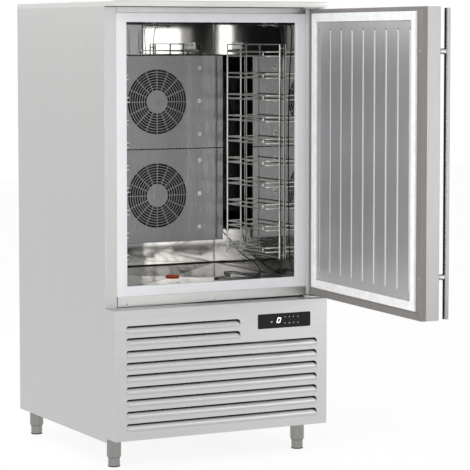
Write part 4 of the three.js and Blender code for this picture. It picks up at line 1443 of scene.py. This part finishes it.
class ChillerDoorLiner(bpy.types.Operator):
    """Ribbed inner liner and the mitred frame round it"""

    bl_idname = "chiller.door_liner"
    bl_label = "Door liner and frame"

    def execute(self, context):
        mesh = bmesh.new()
        low, high = (-LINER_HALF, DOOR_FACE - 0.00175, LINER_BOTTOM), (LINER_HALF, DOOR_FACE, LINER_TOP)
        add_rounded_block(mesh, low, high, 0.0004, 1)
        for x in RIB_PLACES:
            self.raise_rib(mesh, x, sizes().rib_width / 2, sizes().rib_height)
        make_piece("ribbed_liner", mesh, "door_liner_sheet", "door", ["door_liner"], 35)

        # Dark spots at the ribs' top ends: painted shade where each rib's end dips back into the sheet.
        mesh = bmesh.new()
        for x in RIB_PLACES:
            shade_spot = Vector((x, DOOR_FACE, RIB_TOP + 0.0015))
            add_rod(mesh, shade_spot - Vector((0, 0.0004, 0)), shade_spot + Vector((0, 0.0002, 0)), 0.0030, 12)
        make_piece("rib_end_painted_shade", mesh, "dark_seal_and_painted_shade", "door")

        self.mitre_frame()

        mesh = bmesh.new()
        screw = [(0.0, 0.0012), (0.0022, 0.0011), (0.0036, 0.0004), (0.0038, 0.0)]
        for z in POST_Z:
            for x in (-0.3865, 0.3865):
                add_turned(mesh, screw, (x, DOOR_FACE, z), "back", steps=16)
        make_piece("frame_screws", mesh, "polished", "door")
        return {"FINISHED"}

    @staticmethod
    def mitre_frame():
        """The plastic frame with its groove, and the dark lines of its mitred corners."""
        back, face, groove = SKIN_BACK + 0.0003, DOOR_FACE, DOOR_FACE - 0.0010
        width, edge = HALF_WIDTH - SEAL_INNER[0], 0.0022
        section = [
            (0.0, back), *arc((edge, face - edge), edge, 180, 90, 4), (0.0225, face), (0.0230, groove),
            (0.0262, groove), (0.0265, face), (width, face), (width, back),
        ]
        mesh = bmesh.new()
        add_ring_section(mesh, (HALF_WIDTH, DOOR_BOTTOM, DOOR_TOP), SEAL_INNER, section)
        nodes = ["door_edge_frame"]
        make_piece("mitred_door_frame", mesh, "door_frame_plastic", "door", nodes)

        mesh = bmesh.new()
        shrink, line_y = 0.003, DOOR_FACE + 0.0001
        for side in (-1, 1):
            for z0, z1 in ((DOOR_BOTTOM + shrink, 0.574), (DOOR_TOP - shrink, 1.512)):
                start, end = (side * (HALF_WIDTH - shrink), line_y, z0), (side * 0.374, line_y, z1)
                add_rod(mesh, start, end, 0.00045, 6)
        make_piece("mitre_lines", mesh, "dark_seal_and_painted_shade", "door")

    @staticmethod
    def raise_rib(mesh, x, half, height):
        """A pressed rib with a round crest and ends that run out into the sheet."""
        crowding, end_width, sunk = 2.6, 0.25, 0.0002
        made = bmesh.ops.create_grid(mesh, x_segments=8, y_segments=40, size=0.5)["verts"]
        for vert in made:
            u, v = vert.co.x * 2, vert.co.y * 2
            along = math.copysign(1 - (1 - abs(v)) ** crowding, v)
            z = (RIB_BOTTOM + RIB_TOP) / 2 + along * (RIB_TOP - RIB_BOTTOM) / 2
            to_end = min(z - RIB_BOTTOM, RIB_TOP - z)
            share = min(1.0, to_end / half)
            swell = math.sqrt(max(0.0, 1 - (1 - share) ** 2))
            crest = math.cos(u * math.pi / 2) ** 0.8 if abs(u) < 1 else 0.0
            across = u * half * (end_width + (1 - end_width) * swell)
            vert.co = (x + across, DOOR_FACE - sunk + height * crest * swell, z)
        turn_outwards(mesh, made)
        faces = list({f for v in made for f in v.link_faces})
        if faces[0].normal.y < 0:
            bmesh.ops.reverse_faces(mesh, faces=faces)


class ChillerGasket(bpy.types.Operator):
    """Magnetic seal with two rounded lips and a groove"""

    bl_idname = "chiller.gasket"
    bl_label = "Door gasket"

    def execute(self, context):
        foot, crown, groove, lip = DOOR_FACE + 0.0003, -0.0014, -0.0030, sizes().gasket_lip
        width = SEAL_OUTER[0] - SEAL_INNER[0]
        section = [
            (0.0, foot), *arc((lip, crown - lip), lip, 180, 90, 4), (0.0085, crown), (0.0098, groove),
            (0.0116, groove), (0.0129, crown), *arc((width - lip, crown - lip), lip, 90, 0, 4), (width, foot),
        ]
        mesh = bmesh.new()
        add_ring_section(mesh, SEAL_OUTER, SEAL_INNER, section)
        make_piece("door_seal", mesh, "gasket_rubber", "door", ["door_gasket"], 50)
        return {"FINISHED"}


class ChillerHandle(bpy.types.Operator):
    """Full-height bar handle on two posts"""

    bl_idname = "chiller.handle"
    bl_label = "Bar handle"

    def execute(self, context):
        left, right = HANDLE_X - HANDLE_HALF, HANDLE_X + HANDLE_HALF
        bottom, top, inset = DOOR_BOTTOM + 0.002, DOOR_TOP - 0.004, 0.0022
        mesh = bmesh.new()
        low, high = (left, BAR_OUTER, bottom), (right, BAR_INNER, top)
        add_rounded_block(mesh, low, high, 0.0032, 5, along="Z")
        round_edges(mesh, sharp_edges(mesh), 0.0006, 2)
        make_piece("bar_handle", mesh, "handle_steel", "door", ["door_handle"])
        # A dark strip on the bar's inner face, towards the door: painted shade on the bar's shaded side.
        mesh = bmesh.new()
        low = (left + inset, BAR_INNER - 0.0004, bottom + 0.001)
        high = (right - inset, BAR_INNER + 0.0002, top - 0.001)
        add_block(mesh, low, high)
        make_piece("handle_painted_shade_strip", mesh, "dark_seal_and_painted_shade", "door")
        middle, half = (BAR_INNER + FRONT_Y) / 2, (FRONT_Y - BAR_INNER) / 2 - 0.0003
        profile = [
            (0.0, -half), (0.0085, -half), (0.0095, -half + 0.001), (0.0095, half - 0.001),
            (0.0090, half), (0.0, half),
        ]
        for place, z in zip(("lower", "upper"), POST_Z):
            mesh = bmesh.new()
            add_turned(mesh, profile, (HANDLE_X + 0.001, middle, z), "front", steps=32)
            nodes = [f"{place}_handle_post"]
            make_piece(f"{place}_post", mesh, "polished", "door", nodes)
        return {"FINISHED"}


# ------------------------------------------------------------------ pieces that keep their shape

KEPT = {
    "satin_upright": ("left_side_panel", "right_side_panel"),
    "galvanised_sheet": ("back_panel", "base_tray", "condenser_fan_shroud"),
    "insulation": ("foam_left", "foam_right", "foam_back", "foam_top", "foam_bottom", "door_foam"),
    "liner_sheet": ("chamber_left_wall", "chamber_right_wall", "chamber_back_wall", "chamber_ceiling"),
    "liner_floor": ("chamber_floor",),
    "black_moulding": (
        "drain_fitting", "control_box", "upper_evaporator_fan", "lower_evaporator_fan", "condenser_fan",
    ),
    "black_paint": (
        "compressor", "liquid_receiver", "evaporator_housing", "evaporator_fan_motors",
        "condenser_fan_motor",
    ),
    "fins": ("evaporator_coil", "condenser_coil"),
    "copper": ("discharge_pipe",),
}


class ChillerKeptPieces(bpy.types.Operator):
    """Finishes of the pieces whose shape stays as it is in the frame"""

    bl_idname = "chiller.kept_pieces"
    bl_label = "Kept pieces"

    def execute(self, context):
        for finish, nodes in KEPT.items():
            for node in nodes:
                finish_node(node, finish)
        return {"FINISHED"}


# ------------------------------------------------------------------ add-on

STEPS = (
    ChillerStage,
    ChillerFinishes,
    ChillerProbe,
    ChillerTopCap,
    ChillerFrontFrame,
    ChillerLouvrePanel,
    ChillerControls,
    ChillerEvaporatorCovers,
    ChillerRacks,
    ChillerChamberFittings,
    ChillerLegs,
    ChillerHinges,
    ChillerDoorSkin,
    ChillerDoorLiner,
    ChillerGasket,
    ChillerHandle,
    ChillerKeptPieces,
)


class ChillerPanel(bpy.types.Panel):
    """Lists the chiller's pieces, sizes and colours"""

    bl_idname = "VIEW3D_PT_chiller"
    bl_label = "Blast chiller"
    bl_space_type = "VIEW_3D"
    bl_region_type = "UI"
    bl_category = "Chiller"

    def draw(self, context):
        column = self.layout.column()
        for step in STEPS:
            column.operator(step.bl_idname)
        for group in (context.scene.chiller_sizes, context.scene.chiller_colours):
            for name in group.bl_rna.properties.keys():
                if name not in ("rna_type", "name"):
                    column.prop(group, name)


CLASSES = (ChillerSizes, ChillerColours, *STEPS, ChillerPanel)


def register():
    for cls in CLASSES:
        bpy.utils.register_class(cls)
    bpy.types.Scene.chiller_sizes = bpy.props.PointerProperty(type=ChillerSizes)
    bpy.types.Scene.chiller_colours = bpy.props.PointerProperty(type=ChillerColours)


def unregister():
    del bpy.types.Scene.chiller_colours
    del bpy.types.Scene.chiller_sizes
    for cls in reversed(CLASSES):
        bpy.utils.unregister_class(cls)


def main():
    register()
    for step in STEPS:
        group, name = step.bl_idname.split(".")
        getattr(getattr(bpy.ops, group), name)()


if __name__ == "__main__":
    main()
